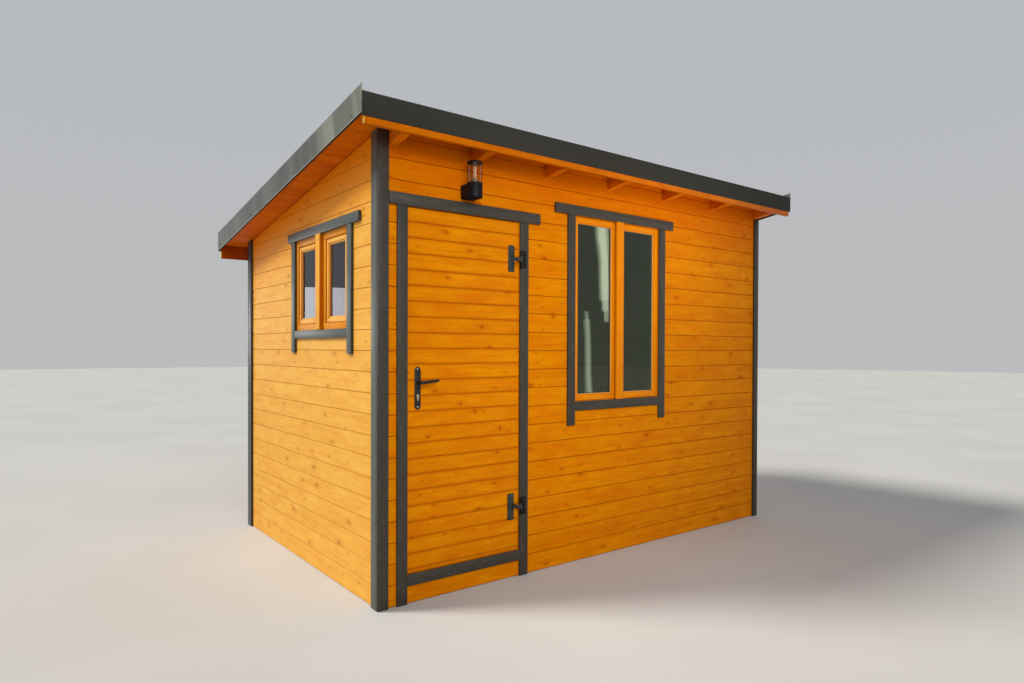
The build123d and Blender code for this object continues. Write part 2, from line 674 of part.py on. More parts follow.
sw_trim_w = 60.0
sw_trim_z0 = 1337.0
with BuildPart() as side_window_side_trims:
    with BuildSketch(Plane.XY.offset(sw_trim_z0)):
        with Locations((-wall_x - tp / 2, vy(sw_v0 - sw_trim_w / 2)), (-wall_x - tp / 2, vy(sw_v1 + sw_trim_w / 2))):
            Rectangle(tp, sw_trim_w)
    extrude(amount=sw_z1 - sw_trim_z0)
side_window_side_trims.part.label = "side_window_side_trims"
export_step(side_window_side_trims.part, "parts/side_window_side_trims.step")

sw_head_v0, sw_head_v1, sw_head_h, sw_foot_h = 214.0, 1308.0, 57.0, 51.0
with BuildPart() as side_window_head_and_foot_trims:
    with BuildSketch(Plane.YZ.offset(-wall_x)):
        with Locations(((vy(sw_head_v0) + vy(sw_head_v1)) / 2, sw_z1 + sw_head_h / 2)):
            Rectangle(sw_head_v1 - sw_head_v0, sw_head_h)
    extrude(amount=-head_t)
    with BuildSketch(Plane.YZ.offset(-wall_x)):
        with Locations((vy(sw_vc), sw_z0 - sw_foot_h / 2)):
            Rectangle(sw_v1 - sw_v0, sw_foot_h)
    extrude(amount=-tp)
side_window_head_and_foot_trims.part.label = "side_window_head_and_foot_trims"
export_step(side_window_head_and_foot_trims.part, "parts/side_window_head_and_foot_trims.step")

# ---------------------------------------------------------------------------
# Wall lamp above the door: a metal body on a box-shaped bracket, a clear glass
# cylinder, a lid held by thin rods, and the light tube inside
# ---------------------------------------------------------------------------
lamp_z0, lamp_z1, lamp_z2, lamp_z3 = 2209.0, 2291.0, 2399.0, 2410.0
lamp_box_w = 86.0
lamp_box_z1 = 2286.0
glass_wall = 2.5
with BuildPart() as lamp_body:
    with BuildSketch(Plane.XY.offset(lamp_z0)):
        with Locations((ux(lamp_u), vy(lamp_v))):
            Circle(lamp_r)
    extrude(amount=lamp_z1 - lamp_z0)
    with BuildSketch(Plane.XY.offset(lamp_z0)):
        with Locations((ux(lamp_u), vy(lamp_v / 2))):
            Rectangle(lamp_box_w, -lamp_v)
    extrude(amount=lamp_box_z1 - lamp_z0)
lamp_body.part.label = "lamp_body"
export_step(lamp_body.part, "parts/lamp_body.step")

with BuildPart() as lamp_glass:
    with BuildSketch(Plane.XY.offset(lamp_z1)):
        with Locations((ux(lamp_u), vy(lamp_v))):
            Circle(lamp_r - 1.0)
            Circle(lamp_r - 1.0 - glass_wall, mode=Mode.SUBTRACT)
    extrude(amount=lamp_z2 - lamp_z1)
lamp_glass.part.label = "lamp_glass"
export_step(lamp_glass.part, "parts/lamp_glass.step")

with BuildPart() as lamp_lid:
    with BuildSketch(Plane.XY.offset(lamp_z2)):
        with Locations((ux(lamp_u), vy(lamp_v))):
            Circle(lamp_r)
    extrude(amount=lamp_z3 - lamp_z2)
    with BuildSketch(Plane.XY.offset(lamp_z1)):
        with Locations((ux(lamp_u), vy(lamp_v))):
            with PolarLocations(35.0, 4, start_angle=45):
                Circle(2.0)
    extrude(amount=lamp_z2 - lamp_z1)
lamp_lid.part.label = "lamp_lid"
export_step(lamp_lid.part, "parts/lamp_lid.step")

with BuildPart() as lamp_tube:
    with BuildSketch(Plane.XY.offset(lamp_z1)):
        with Locations((ux(lamp_u), vy(lamp_v))):
            Circle(16.0)
    extrude(amount=14.0)
    with BuildSketch(Plane.XY.offset(lamp_z1 + 14.0)):
        with Locations((ux(lamp_u), vy(lamp_v))):
            Circle(11.0)
    extrude(amount=76.0)
    fillet(lamp_tube.edges().group_by(Axis.Z)[-1], 8.0)
lamp_tube.part.label = "lamp_tube"
export_step(lamp_tube.part, "parts/lamp_tube.step")
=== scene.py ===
import math
import random

import bmesh
import bpy
from mathutils import Matrix, Vector


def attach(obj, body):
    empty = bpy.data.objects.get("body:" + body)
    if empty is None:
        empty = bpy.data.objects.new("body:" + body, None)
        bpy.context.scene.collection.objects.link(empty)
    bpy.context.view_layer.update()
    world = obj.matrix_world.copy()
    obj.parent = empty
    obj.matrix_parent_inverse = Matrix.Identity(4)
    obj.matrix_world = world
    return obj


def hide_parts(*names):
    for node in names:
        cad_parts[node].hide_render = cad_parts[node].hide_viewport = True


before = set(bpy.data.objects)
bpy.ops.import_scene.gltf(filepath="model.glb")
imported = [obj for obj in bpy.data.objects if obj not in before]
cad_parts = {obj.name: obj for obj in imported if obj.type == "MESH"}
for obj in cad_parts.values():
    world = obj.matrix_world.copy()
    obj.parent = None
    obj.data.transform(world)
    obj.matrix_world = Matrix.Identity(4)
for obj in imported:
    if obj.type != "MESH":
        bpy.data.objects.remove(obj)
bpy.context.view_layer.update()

# ---------------------------------------------------------------------------
# Sizes, in millimetres as on the model: u runs along the front wall from its
# left corner, v along the side walls from the front corner, z up.
# ---------------------------------------------------------------------------
WX, WY, WT = 1700.0, 1090.0, 90.0
SLOPE, SOFFIT, OVER = 0.15, 2510.0, 190.0
RAFTER_U = [50.0, 583.0, 1136.0, 1675.0, 2226.0, 2778.0, 3338.0]
RAFTER_W, RAFTER_D = 45.0, 81.0
PITCH = 113.0
DOOR = (161.0, 925.0, 157.0, 2128.0)
FWIN = (1373.0, 2186.0, 1030.0, 2225.0)
SWIN = (374.0, 1187.0, 1480.0, 2063.0)
HOLE_DOOR = (132.0, 954.0, 123.0, 2158.0)
HOLE_FWIN = (1342.0, 2217.0, 999.0, 2256.0)
HOLE_SWIN = (343.0, 1218.0, 1449.0, 2094.0)
TRIM_T, HEAD_T = 15.0, 18.0


def X(u):
    return (u - WX) / 1000.0


def Y(v):
    return (v - WY) / 1000.0


def soffit(v):
    return SOFFIT - SLOPE * v


def raft(v):
    return soffit(v) - RAFTER_D


# ---------------------------------------------------------------------------
# Node helpers
# ---------------------------------------------------------------------------
class Net:
    """A material's nodes, built step by step."""

    def __init__(self, name):
        self.mat = bpy.data.materials.new(name)
        self.mat.use_nodes = True
        self.t = self.mat.node_tree
        self.bsdf = self.t.nodes["Principled BSDF"]

    def node(self, kind, **props):
        n = self.t.nodes.new(kind)
        for k, v in props.items():
            setattr(n, k, v)
        return n

    def put(self, socket, value):
        if hasattr(value, "is_output"):
            self.t.links.new(value, socket)
        elif value is not None:
            socket.default_value = value

    def math(self, op, a, b=None, c=None, clamp=False):
        n = self.node("ShaderNodeMath", operation=op, use_clamp=clamp)
        self.put(n.inputs[0], a)
        self.put(n.inputs[1], b)
        self.put(n.inputs[2], c)
        return n.outputs[0]

    def comb(self, x, y, z):
        n = self.node("ShaderNodeCombineXYZ")
        for s, v in zip(n.inputs, (x, y, z)):
            self.put(s, v)
        return n.outputs[0]

    def sep(self, v):
        n = self.node("ShaderNodeSeparateXYZ")
        self.put(n.inputs[0], v)
        return n.outputs

    def noise(self, vec, scale=1.0, detail=2.0, rough=0.5, dims="3D"):
        n = self.node("ShaderNodeTexNoise", noise_dimensions=dims)
        self.put(n.inputs["Vector"], vec)
        n.inputs["Scale"].default_value = scale
        n.inputs["Detail"].default_value = detail
        n.inputs["Roughness"].default_value = rough
        return n.outputs[0]

    def white(self, value):
        n = self.node("ShaderNodeTexWhiteNoise", noise_dimensions="1D")
        self.put(n.inputs["W"], value)
        return n.outputs[0]

    def step(self, v, lo, hi, out0=0.0, out1=1.0):
        n = self.node("ShaderNodeMapRange", interpolation_type="SMOOTHSTEP")
        self.put(n.inputs[0], v)
        n.inputs[1].default_value = lo
        n.inputs[2].default_value = hi
        n.inputs[3].default_value = out0
        n.inputs[4].default_value = out1
        return n.outputs[0]

    def mix(self, f, a, b, blend="MIX"):
        n = self.node("ShaderNodeMix", data_type="RGBA", blend_type=blend)
        self.put(n.inputs["Factor"], f)
        self.put(n.inputs[6], a)
        self.put(n.inputs[7], b)
        return n.outputs[2]

    def scale_colour(self, col, f):
        n = self.node("ShaderNodeVectorMath", operation="SCALE")
        self.put(n.inputs[0], col)
        self.put(n.inputs[3], f)
        return n.outputs[0]

    def bump(self, height, strength, distance, below=None):
        n = self.node("ShaderNodeBump")
        n.inputs["Strength"].default_value = strength
        n.inputs["Distance"].default_value = distance
        self.put(n.inputs["Height"], height)
        if below is not None:
            self.put(n.inputs["Normal"], below)
        return n.outputs[0]

    def attr(self, name):
        n = self.node("ShaderNodeAttribute", attribute_type="GEOMETRY", attribute_name=name)
        return n

    def obj(self):
        return self.node("ShaderNodeTexCoord").outputs["Object"]


def rgb(r, g, b):
    """Screen values 0 to 255 as linear colour."""
    def lin(c):
        c /= 255.0
        return c / 12.92 if c <= 0.04045 else ((c + 0.055) / 1.055) ** 2.4
    return (lin(r), lin(g), lin(b), 1.0)


# ---------------------------------------------------------------------------
# Materials
# ---------------------------------------------------------------------------
def wood(name, light, dark, knot, rough=(0.42, 0.58), rings=0.35, tone=0.5, knots=0.5, spec=0.4,
         coat=0.0, relief=1.0, sheen=None, width=None, edge_stain_and_shade=0.3, spread=0.0065, blotch=0.75,
         eaves_shade_colour=None, eaves_shade_strength=0.6):
    """Softwood: the board's own coordinates run along the grain (x), across it (y) and into it (z).
    sheen colours the gloss, and width is a board's cover: towards its edges the colour darkens, partly from stain
    gathered there and partly as painted shade of the joints.
    Under the eaves the colour darkens to the given deeper orange as painted shade, as far as the given strength says."""
    t = Net(name)
    at = t.attr("bco")
    x, y, z = t.sep(at.outputs["Vector"])
    s = t.attr("bsd").outputs["Fac"]
    m = t.math
    # slow wander of the grain
    wander = t.noise(t.comb(m("MULTIPLY_ADD", s, 13.7, m("MULTIPLY", x, 1.3)), m("MULTIPLY", y, 2.5), m("MULTIPLY", s, 5.1)), 1.0, 2.0)
    w1 = m("MULTIPLY_ADD", wander, 0.05, -0.025)
    # knots: round ones, and branches cut along their length that cross the board as short strokes
    kx = m("MULTIPLY_ADD", s, 31.7, m("DIVIDE", x, 0.24))
    ky = m("MULTIPLY_ADD", s, 17.9, m("DIVIDE", y, 0.075))
    vor = t.node("ShaderNodeTexVoronoi", voronoi_dimensions="2D", feature="F1")
    t.put(vor.inputs["Vector"], t.comb(kx, ky, 0.0))
    vor.inputs["Scale"].default_value = 1.0
    vor.inputs["Randomness"].default_value = 0.95
    px, py, _ = t.sep(vor.outputs["Position"])
    da = m("MULTIPLY", m("SUBTRACT", kx, px), 0.24)
    dc = m("MULTIPLY", m("SUBTRACT", ky, py), 0.075)
    col = t.node("ShaderNodeSeparateColor")
    t.put(col.inputs[0], vor.outputs["Color"])
    r1, r2, r3 = col.outputs
    there = m("GREATER_THAN", r2, 1.0 - knots)
    rk = m("MULTIPLY", m("MULTIPLY_ADD", m("POWER", r1, 3.0), 0.0075, 0.0016), there)
    rk_safe = m("MAXIMUM", rk, 0.0005)
    lean = m("ADD", da, m("MULTIPLY", dc, m("MULTIPLY_ADD", r3, 0.7, -0.45)))
    stroke = t.step(r3, 0.45, 0.85, 1.0, 1.55)
    wob = t.noise(t.comb(m("MULTIPLY", da, 190.0), m("MULTIPLY", dc, 190.0), s), 1.0, 2.0)
    rr = m("SQRT", m("ADD", m("POWER", m("MULTIPLY", lean, stroke), 2.0), m("POWER", m("DIVIDE", dc, stroke), 2.0)))
    rr = m("MULTIPLY", rr, m("MULTIPLY_ADD", wob, 0.9, 0.55))
    q = m("DIVIDE", rr, rk_safe)
    core = m("MULTIPLY", t.step(q, 1.25, 0.55), there)
    rim = m("MULTIPLY", m("MULTIPLY", t.step(q, 0.45, 0.8), t.step(q, 1.35, 0.95)), there)
    halo = m("MULTIPLY", m("EXPONENT", m("MULTIPLY", m("ADD", m("POWER", m("DIVIDE", lean, m("MULTIPLY_ADD", rk_safe, 4.5, 0.004)), 2.0), m("POWER", m("DIVIDE", dc, m("MULTIPLY_ADD", rk_safe, 1.9, 0.003)), 2.0)), -1.0)), there)
    # the grain flows round each knot
    push = m("MULTIPLY", m("MULTIPLY", rk, m("TANH", m("DIVIDE", dc, rk_safe))),
             m("EXPONENT", m("MULTIPLY", m("POWER", m("DIVIDE", da, m("MULTIPLY_ADD", rk_safe, 3.5, 0.003)), 2.0), -1.0)))
    g = m("SUBTRACT", m("ADD", y, w1), m("MULTIPLY", push, 1.5))
    # growth rings round a pith line that wanders behind or in front of the board
    pith_c = m("MULTIPLY_ADD", t.white(m("MULTIPLY", s, 3.3)), 0.16, -0.03)
    drift = t.noise(t.comb(m("MULTIPLY_ADD", s, 7.7, m("MULTIPLY", x, 0.55)), s, 0.0), 1.0, 1.0)
    pith_n = m("ADD", m("MULTIPLY_ADD", drift, 0.085, 0.004), m("ABSOLUTE", z))
    ring = m("SQRT", m("ADD", m("POWER", m("SUBTRACT", g, pith_c), 2.0), m("POWER", pith_n, 2.0)))
    irregular = t.noise(t.comb(m("MULTIPLY", x, 1.5), m("MULTIPLY", ring, 90.0), m("MULTIPLY", s, 2.0)), 1.0, 2.0)
    phase = m("FRACT", m("MULTIPLY_ADD", irregular, 0.9, m("DIVIDE", ring, 0.0052)))
    late = m("MULTIPLY", t.step(phase, 0.30, 0.90), t.step(phase, 1.0, 0.93))
    # streaks and blotches of the stain
    streak = t.noise(t.comb(m("MULTIPLY_ADD", s, 3.1, m("MULTIPLY", x, 1.6)), m("MULTIPLY", g, 55.0), m("MULTIPLY_ADD", s, 9.0, m("MULTIPLY", z, 20.0))), 1.0, 3.0, 0.6)
    blot = t.noise(t.comb(m("MULTIPLY", x, 6.5), m("MULTIPLY", y, 20.0), m("MULTIPLY", s, 4.3)), 1.0, 4.0, 0.6)
    fibre = t.noise(t.comb(m("MULTIPLY", x, 16.0), m("MULTIPLY", g, 900.0), m("MULTIPLY_ADD", z, 900.0, s)), 1.0, 2.0, 0.6)
    board = t.white(m("MULTIPLY", s, 1.7))
    k = m("ADD", m("MULTIPLY_ADD", streak, 0.7, -0.35), m("MULTIPLY_ADD", blot, blotch, -0.5 * blotch))
    k = m("ADD", k, m("MULTIPLY_ADD", board, tone, -0.5 * tone))
    k = m("ADD", k, m("MULTIPLY_ADD", fibre, 0.20, -0.10))
    k = m("ADD", k, 0.62)
    k = m("SUBTRACT", k, m("MULTIPLY", late, rings), clamp=True)
    base = t.mix(k, dark, light)
    # the stain runs from yellow to red in clouds
    cloud = t.noise(t.comb(m("MULTIPLY_ADD", s, 6.1, m("MULTIPLY", x, 4.2)), m("MULTIPLY", y, 11.0), m("MULTIPLY", s, 2.7)), 1.0, 2.0, 0.5)
    base = t.mix(m("MULTIPLY", t.step(cloud, 0.40, 0.70), 0.32), base, (dark[0] * 1.12, dark[1] * 0.92, dark[2], 1.0))
    # painted shade under the eaves: the colour darkens towards the soffit line
    if eaves_shade_colour:
        ox, oy, oz = t.sep(t.obj())
        under = m("SUBTRACT", m("MULTIPLY_ADD", oy, -SLOPE, (SOFFIT - SLOPE * WY) / 1000), oz)
        shade = m("MULTIPLY", t.step(m("MULTIPLY_ADD", blot, 0.08, under), 0.52, 0.08), eaves_shade_strength)
        base = t.mix(shade, base, eaves_shade_colour)
    base = t.mix(m("MULTIPLY", halo, 0.55), base, (dark[0] * 0.85, dark[1] * 0.72, dark[2], 1.0))
    base = t.mix(m("MULTIPLY", core, 0.74), base, knot)
    base = t.mix(m("MULTIPLY", rim, 0.26), base, (knot[0] * 0.5, knot[1] * 0.45, knot[2] * 0.4, 1.0))
    # darker along each board's edges: stain gathered there, and painted shade of the joints
    if width:
        near = m("PINGPONG", y, width / 2)
        edge_stain_and_shade_mask = m("MULTIPLY", t.step(near, spread, 0.0005), m("MULTIPLY_ADD", blot, 0.8, 0.6))
        base = t.mix(m("MULTIPLY", edge_stain_and_shade_mask, edge_stain_and_shade, clamp=True), base, (dark[0] * 0.62, dark[1] * 0.50, dark[2] * 0.4, 1.0))
    t.put(t.bsdf.inputs["Base Color"], base)
    rgh = m("ADD", m("MULTIPLY", m("ADD", m("MULTIPLY", blot, 0.6), m("MULTIPLY", fibre, 0.4)), rough[1] - rough[0]), rough[0])
    t.put(t.bsdf.inputs["Roughness"], rgh)
    t.bsdf.inputs["Specular IOR Level"].default_value = spec
    if sheen:
        t.bsdf.inputs["Specular Tint"].default_value = sheen
    t.bsdf.inputs["Coat Weight"].default_value = coat
    t.bsdf.inputs["Coat Roughness"].default_value = 0.25
    h = m("ADD", m("MULTIPLY", late, 0.45), m("MULTIPLY", fibre, 0.35))
    h = m("ADD", h, m("MULTIPLY", core, 0.5))
    cup = t.noise(t.comb(m("MULTIPLY", x, 2.0), m("MULTIPLY", y, 8.0), s), 1.0, 1.0)
    far = t.bump(cup, 0.35 * relief, 0.004)
    t.put(t.bsdf.inputs["Normal"], t.bump(h, 0.30 * relief, 0.0006, far))
    return t.mat


def paint(name, colour, worn, rough=(0.34, 0.46), grain=1.0, spec=0.3):
    """Opaque dark paint on planed softwood: the grain shows only as relief, and the paint is thin on the arrises."""
    t = Net(name)
    x, y, z = t.sep(t.attr("bco").outputs["Vector"])
    s = t.attr("bsd").outputs["Fac"]
    m = t.math
    slow = t.noise(t.comb(m("MULTIPLY_ADD", s, 5.0, m("MULTIPLY", x, 2.4)), m("MULTIPLY", y, 9.0), m("MULTIPLY", z, 9.0)), 1.0, 3.0, 0.55)
    brush = t.noise(t.comb(m("MULTIPLY_ADD", s, 3.0, m("MULTIPLY", x, 7.0)), m("MULTIPLY", y, 330.0), m("MULTIPLY", z, 330.0)), 1.0, 2.0, 0.5)
    streak = t.noise(t.comb(m("MULTIPLY_ADD", s, 2.0, m("MULTIPLY", x, 1.9)), m("MULTIPLY", y, 110.0), m("MULTIPLY", z, 110.0)), 1.0, 3.0, 0.6)
    board = t.white(m("MULTIPLY", s, 2.9))
    k = m("ADD", m("MULTIPLY", slow, 0.5), m("MULTIPLY", brush, 0.35))
    k = m("ADD", k, m("MULTIPLY_ADD", board, 0.12, -0.06))
    k = t.step(k, 0.22, 0.66)
    dark = tuple(c * 0.88 for c in colour[:3]) + (1.0,)
    lit = tuple(min(1.0, c * 1.12) for c in colour[:3]) + (1.0,)
    base = t.mix(k, dark, lit)
    edge = t.attr("edge").outputs["Fac"]
    patch = t.noise(t.comb(m("MULTIPLY", x, 14.0), m("MULTIPLY", y, 40.0), m("MULTIPLY_ADD", z, 40.0, s)), 1.0, 3.0, 0.6)
    thin = m("MULTIPLY", m("MULTIPLY", edge, t.step(patch, 0.50, 0.72)), 0.35)
    base = t.mix(thin, base, worn)
    t.put(t.bsdf.inputs["Base Color"], base)
    t.put(t.bsdf.inputs["Roughness"], m("MULTIPLY_ADD", m("MULTIPLY_ADD", slow, 0.6, m("MULTIPLY", brush, 0.4)), rough[1] - rough[0], rough[0]))
    t.bsdf.inputs["Specular IOR Level"].default_value = spec
    h = m("ADD", m("MULTIPLY", brush, 0.5), m("MULTIPLY", streak, 0.5))
    t.put(t.bsdf.inputs["Normal"], t.bump(h, 0.22 * grain, 0.0005))
    return t.mat


def metal_sheet(name, colour, rough, wave, spec=0.6, coat=0.3, spread=0.10, painted_reflection_streaks=0.0, painted_front_light=0.0):
    """Coated steel sheet: dished a little along its length, so that its gloss breaks into streaks. Lighter streaks in
    its colour are painted reflections, and it is made lighter towards the front as painted light.
    """
    t = Net(name)
    p = t.obj()
    m = t.math
    x, y, z = t.sep(p)
    fine = t.noise(p, 900.0, 2.0)
    runs = t.noise(t.comb(m("MULTIPLY", x, 5.0), m("MULTIPLY", y, 5.0), m("MULTIPLY", z, 2.0)), 1.0, 3.0, 0.55)
    dust = t.noise(t.comb(m("MULTIPLY", x, 26.0), m("MULTIPLY", y, 26.0), m("MULTIPLY", z, 26.0)), 1.0, 3.0, 0.6)
    k = m("ADD", m("MULTIPLY", runs, 0.7), m("MULTIPLY", dust, 0.3))
    a = tuple(c * (1.0 - spread) for c in colour[:3]) + (1.0,)
    b = tuple(c * (1.0 + spread) for c in colour[:3]) + (1.0,)
    base = t.mix(t.step(k, 0.34, 0.66), a, b)
    bow = t.noise(t.comb(m("MULTIPLY", x, 3.2), m("MULTIPLY_ADD", z, -1.2, m("MULTIPLY", y, 4.2)), 0.0), 1.0, 2.0, 0.55)
    # painted reflections: lighter streaks mixed into the colour
    if painted_reflection_streaks:
        base = t.mix(m("MULTIPLY", t.step(bow, 0.44, 0.62), painted_reflection_streaks), base, tuple(min(1.0, c * 1.9 + 0.02) for c in colour[:3]) + (1.0,))
    # painted light: lighter towards the front of the roof, darker towards the back
    if painted_front_light:
        f = t.step(y, -0.98, -0.50, 1.0 + painted_front_light, 0.68)
        base = t.mix(1.0, base, t.comb(f, f, f), "MULTIPLY")
    t.put(t.bsdf.inputs["Base Color"], base)
    t.put(t.bsdf.inputs["Roughness"], m("ADD", m("MULTIPLY", t.step(k, 0.3, 0.7), 0.10), rough))
    t.bsdf.inputs["Specular IOR Level"].default_value = spec
    t.bsdf.inputs["Coat Weight"].default_value = coat
    t.bsdf.inputs["Coat Roughness"].default_value = 0.16
    first = t.bump(bow, wave, 0.02)
    t.put(t.bsdf.inputs["Normal"], t.bump(fine, 0.10, 0.0002, first))
    return t.mat


def black_metal(name, colour, rough=0.38, spec=0.6):
    """Powder-coated steel with an orange-peel skin."""
    t = Net(name)
    p = t.obj()
    m = t.math
    peel = t.noise(p, 1400.0, 2.0)
    cloud = t.noise(p, 28.0, 3.0, 0.6)
    a = tuple(c * 0.75 for c in colour[:3]) + (1.0,)
    b = tuple(c * 1.35 for c in colour[:3]) + (1.0,)
    t.put(t.bsdf.inputs["Base Color"], t.mix(t.step(cloud, 0.35, 0.68), a, b))
    t.put(t.bsdf.inputs["Roughness"], m("MULTIPLY_ADD", cloud, 0.18, rough - 0.09))
    t.bsdf.inputs["Specular IOR Level"].default_value = spec
    t.put(t.bsdf.inputs["Normal"], t.bump(peel, 0.18, 0.0003))
    return t.mat


def bright_metal(name, colour, rough=0.3):
    t = Net(name)
    p = t.obj()
    m = t.math
    x, y, z = t.sep(p)
    brush = t.noise(t.comb(m("MULTIPLY", x, 2500.0), m("MULTIPLY", y, 300.0), m("MULTIPLY", z, 200.0)), 1.0, 2.0)
    cloud = t.noise(p, 120.0, 3.0)
    a = tuple(c * 0.8 for c in colour[:3]) + (1.0,)
    t.put(t.bsdf.inputs["Base Color"], t.mix(t.step(cloud, 0.35, 0.7), a, colour))
    t.bsdf.inputs["Metallic"].default_value = 1.0
    t.put(t.bsdf.inputs["Roughness"], m("MULTIPLY_ADD", brush, 0.2, rough - 0.1))
    t.put(t.bsdf.inputs["Normal"], t.bump(brush, 0.15, 0.0002))
    return t.mat


def felt(name):
    """Mineral-faced roofing membrane: fine dark granules, a little paler dust where water stood."""
    t = Net(name)
    p = t.obj()
    m = t.math
    x, y, z = t.sep(p)
    grit = t.noise(p, 1100.0, 2.0, 0.7)
    speck = t.node("ShaderNodeTexVoronoi", voronoi_dimensions="3D", feature="F1")
    t.put(speck.inputs["Vector"], p)
    speck.inputs["Scale"].default_value = 420.0
    cs = t.node("ShaderNodeSeparateColor")
    t.put(cs.inputs[0], speck.outputs["Color"])
    cloud = t.noise(t.comb(m("MULTIPLY", x, 1.5), m("MULTIPLY", y, 1.1), 0.0), 1.0, 4.0, 0.6)
    runs = t.noise(t.comb(m("MULTIPLY", x, 14.0), m("MULTIPLY", y, 0.8), 0.0), 1.0, 3.0, 0.6)
    k = m("ADD", m("MULTIPLY", cloud, 0.6), m("MULTIPLY", runs, 0.4))
    base = t.mix(t.step(k, 0.32, 0.68), rgb(58, 60, 62), rgb(86, 87, 86))
    base = t.mix(m("MULTIPLY", t.step(cs.outputs[0], 0.72, 0.95), 0.35), base, rgb(120, 120, 118))
    base = t.mix(m("MULTIPLY", t.step(cs.outputs[1], 0.75, 0.95), 0.4), base, rgb(38, 40, 42))
    t.put(t.bsdf.inputs["Base Color"], base)
    t.put(t.bsdf.inputs["Roughness"], m("MULTIPLY_ADD", grit, 0.15, 0.8))
    t.bsdf.inputs["Specular IOR Level"].default_value = 0.3
    wave = t.noise(p, 1.7, 2.0)
    first = t.bump(wave, 0.4, 0.01)
    t.put(t.bsdf.inputs["Normal"], t.bump(m("ADD", grit, m("MULTIPLY", speck.outputs["Distance"], 1.2)), 0.6, 0.0012, first))
    return t.mat


def clear_glass(name, tint, gloss=(1.0, 1.0, 1.0, 1.0), ior=1.62, film=0.02, ripple=0.06):
    """A pane that is looked through and that mirrors what is in front of it, with a faint even film of dust."""
    t = Net(name)
    m = t.math
    t.t.nodes.remove(t.bsdf)
    out = t.t.nodes["Material Output"]
    see = t.node("ShaderNodeBsdfTransparent")
    see.inputs["Color"].default_value = tint
    shine = t.node("ShaderNodeBsdfGlossy")
    shine.inputs["Color"].default_value = gloss
    shine.inputs["Roughness"].default_value = 0.012
    p = t.obj()
    wave = t.noise(p, 2.2, 1.0)
    t.put(shine.inputs["Normal"], t.bump(wave, ripple, 0.02))
    base = ((ior - 1.0) / (ior + 1.0)) ** 2
    weight = t.node("ShaderNodeLayerWeight")
    weight.inputs["Blend"].default_value = 0.5
    mix = t.node("ShaderNodeMixShader")
    t.put(mix.inputs[0], m("MULTIPLY_ADD", m("POWER", weight.outputs["Facing"], 5.0), 1.0 - base, base))
    t.put(mix.inputs[1], see.outputs[0])
    t.put(mix.inputs[2], shine.outputs[0])
    dust = t.node("ShaderNodeBsdfDiffuse")
    dust.inputs["Color"].default_value = rgb(176, 172, 160)
    fine = t.noise(p, 160.0, 3.0, 0.6)
    mix2 = t.node("ShaderNodeMixShader")
    t.put(mix2.inputs[0], m("MULTIPLY", fine, film))
    t.put(mix2.inputs[1], mix.outputs[0])
    t.put(mix2.inputs[2], dust.outputs[0])
    t.put(out.inputs["Surface"], mix2.outputs[0])
    return t.mat


def plain_rubber(name, colour, rough=0.6):
    t = Net(name)
    p = t.obj()
    n1 = t.noise(p, 300.0, 2.0)
    a = tuple(c * 0.8 for c in colour[:3]) + (1.0,)
    b = tuple(min(1.0, c * 1.3) for c in colour[:3]) + (1.0,)
    t.put(t.bsdf.inputs["Base Color"], t.mix(t.step(n1, 0.3, 0.7), a, b))
    t.put(t.bsdf.inputs["Roughness"], t.math("MULTIPLY_ADD", n1, 0.15, rough - 0.07))
    t.put(t.bsdf.inputs["Normal"], t.bump(n1, 0.15, 0.0004))
    return t.mat


WARM = (1.0, 0.50, 0.04, 1.0)
STAIN = wood("spruce_stained", rgb(226, 143, 2), rgb(186, 90, 1), rgb(134, 54, 1), tone=0.14, knots=0.62, rings=0.22, spec=0.06, sheen=WARM, width=0.113, edge_stain_and_shade=0.34, blotch=0.65, eaves_shade_colour=rgb(194, 82, 1), eaves_shade_strength=0.62)
# a lighter, yellower copy of the wall stain for the left wall: painted sunlight
STAIN_PAINTED_SUNLIT = wood("spruce_stained_painted_sunlit", rgb(236, 184, 84), rgb(207, 138, 36), rgb(146, 78, 8), tone=0.12, knots=0.55, rings=0.18, spec=0.12, sheen=(1.0, 0.70, 0.12, 1.0), width=0.113, edge_stain_and_shade=0.24, blotch=0.7, eaves_shade_colour=rgb(236, 136, 1), eaves_shade_strength=0.95)
DOOR_STAIN = wood("spruce_stained_door", rgb(225, 142, 2), rgb(186, 91, 1), rgb(152, 58, 1), tone=0.12, knots=0.52, rings=0.18, spec=0.20, sheen=WARM, width=0.085, edge_stain_and_shade=0.42, spread=0.015, blotch=0.8)
FASCIA = wood("spruce_stained_front_edge", rgb(212, 114, 3), rgb(160, 72, 1), rgb(90, 34, 0), tone=0.16, knots=0.4, rings=0.28, spec=0.2, sheen=WARM, blotch=1.0)
SOFFIT_STAIN = wood("spruce_stained_roof", rgb(234, 124, 3), rgb(180, 78, 1), rgb(94, 36, 0), tone=0.16, knots=0.4, rings=0.28, spec=0.25, sheen=WARM, blotch=0.9)
# a darker copy of the roof stain for the back fascia, whose inner face is seen in shade: painted shade
FASCIA_BACK_PAINTED_SHADE = wood("spruce_stained_rear_edge_painted_shade", rgb(176, 74, 2), rgb(126, 44, 1), rgb(70, 26, 0), tone=0.16, knots=0.4, rings=0.28, spec=0.12, sheen=WARM, blotch=0.9)
# a light yellow copy of the stain for the fascias' cut ends: painted sunlight
FASCIA_END_PAINTED_SUNLIT = wood("spruce_cut_end_painted_sunlit", rgb(250, 206, 92), rgb(236, 172, 52), rgb(170, 100, 30), tone=0.10, knots=0.0, rings=0.30, spec=0.3)
SASH_STAIN = wood("pine_stained_joinery", rgb(230, 142, 6), rgb(200, 103, 2), rgb(136, 62, 2), tone=0.12, knots=0.06, rings=0.14, spec=0.4, sheen=WARM)
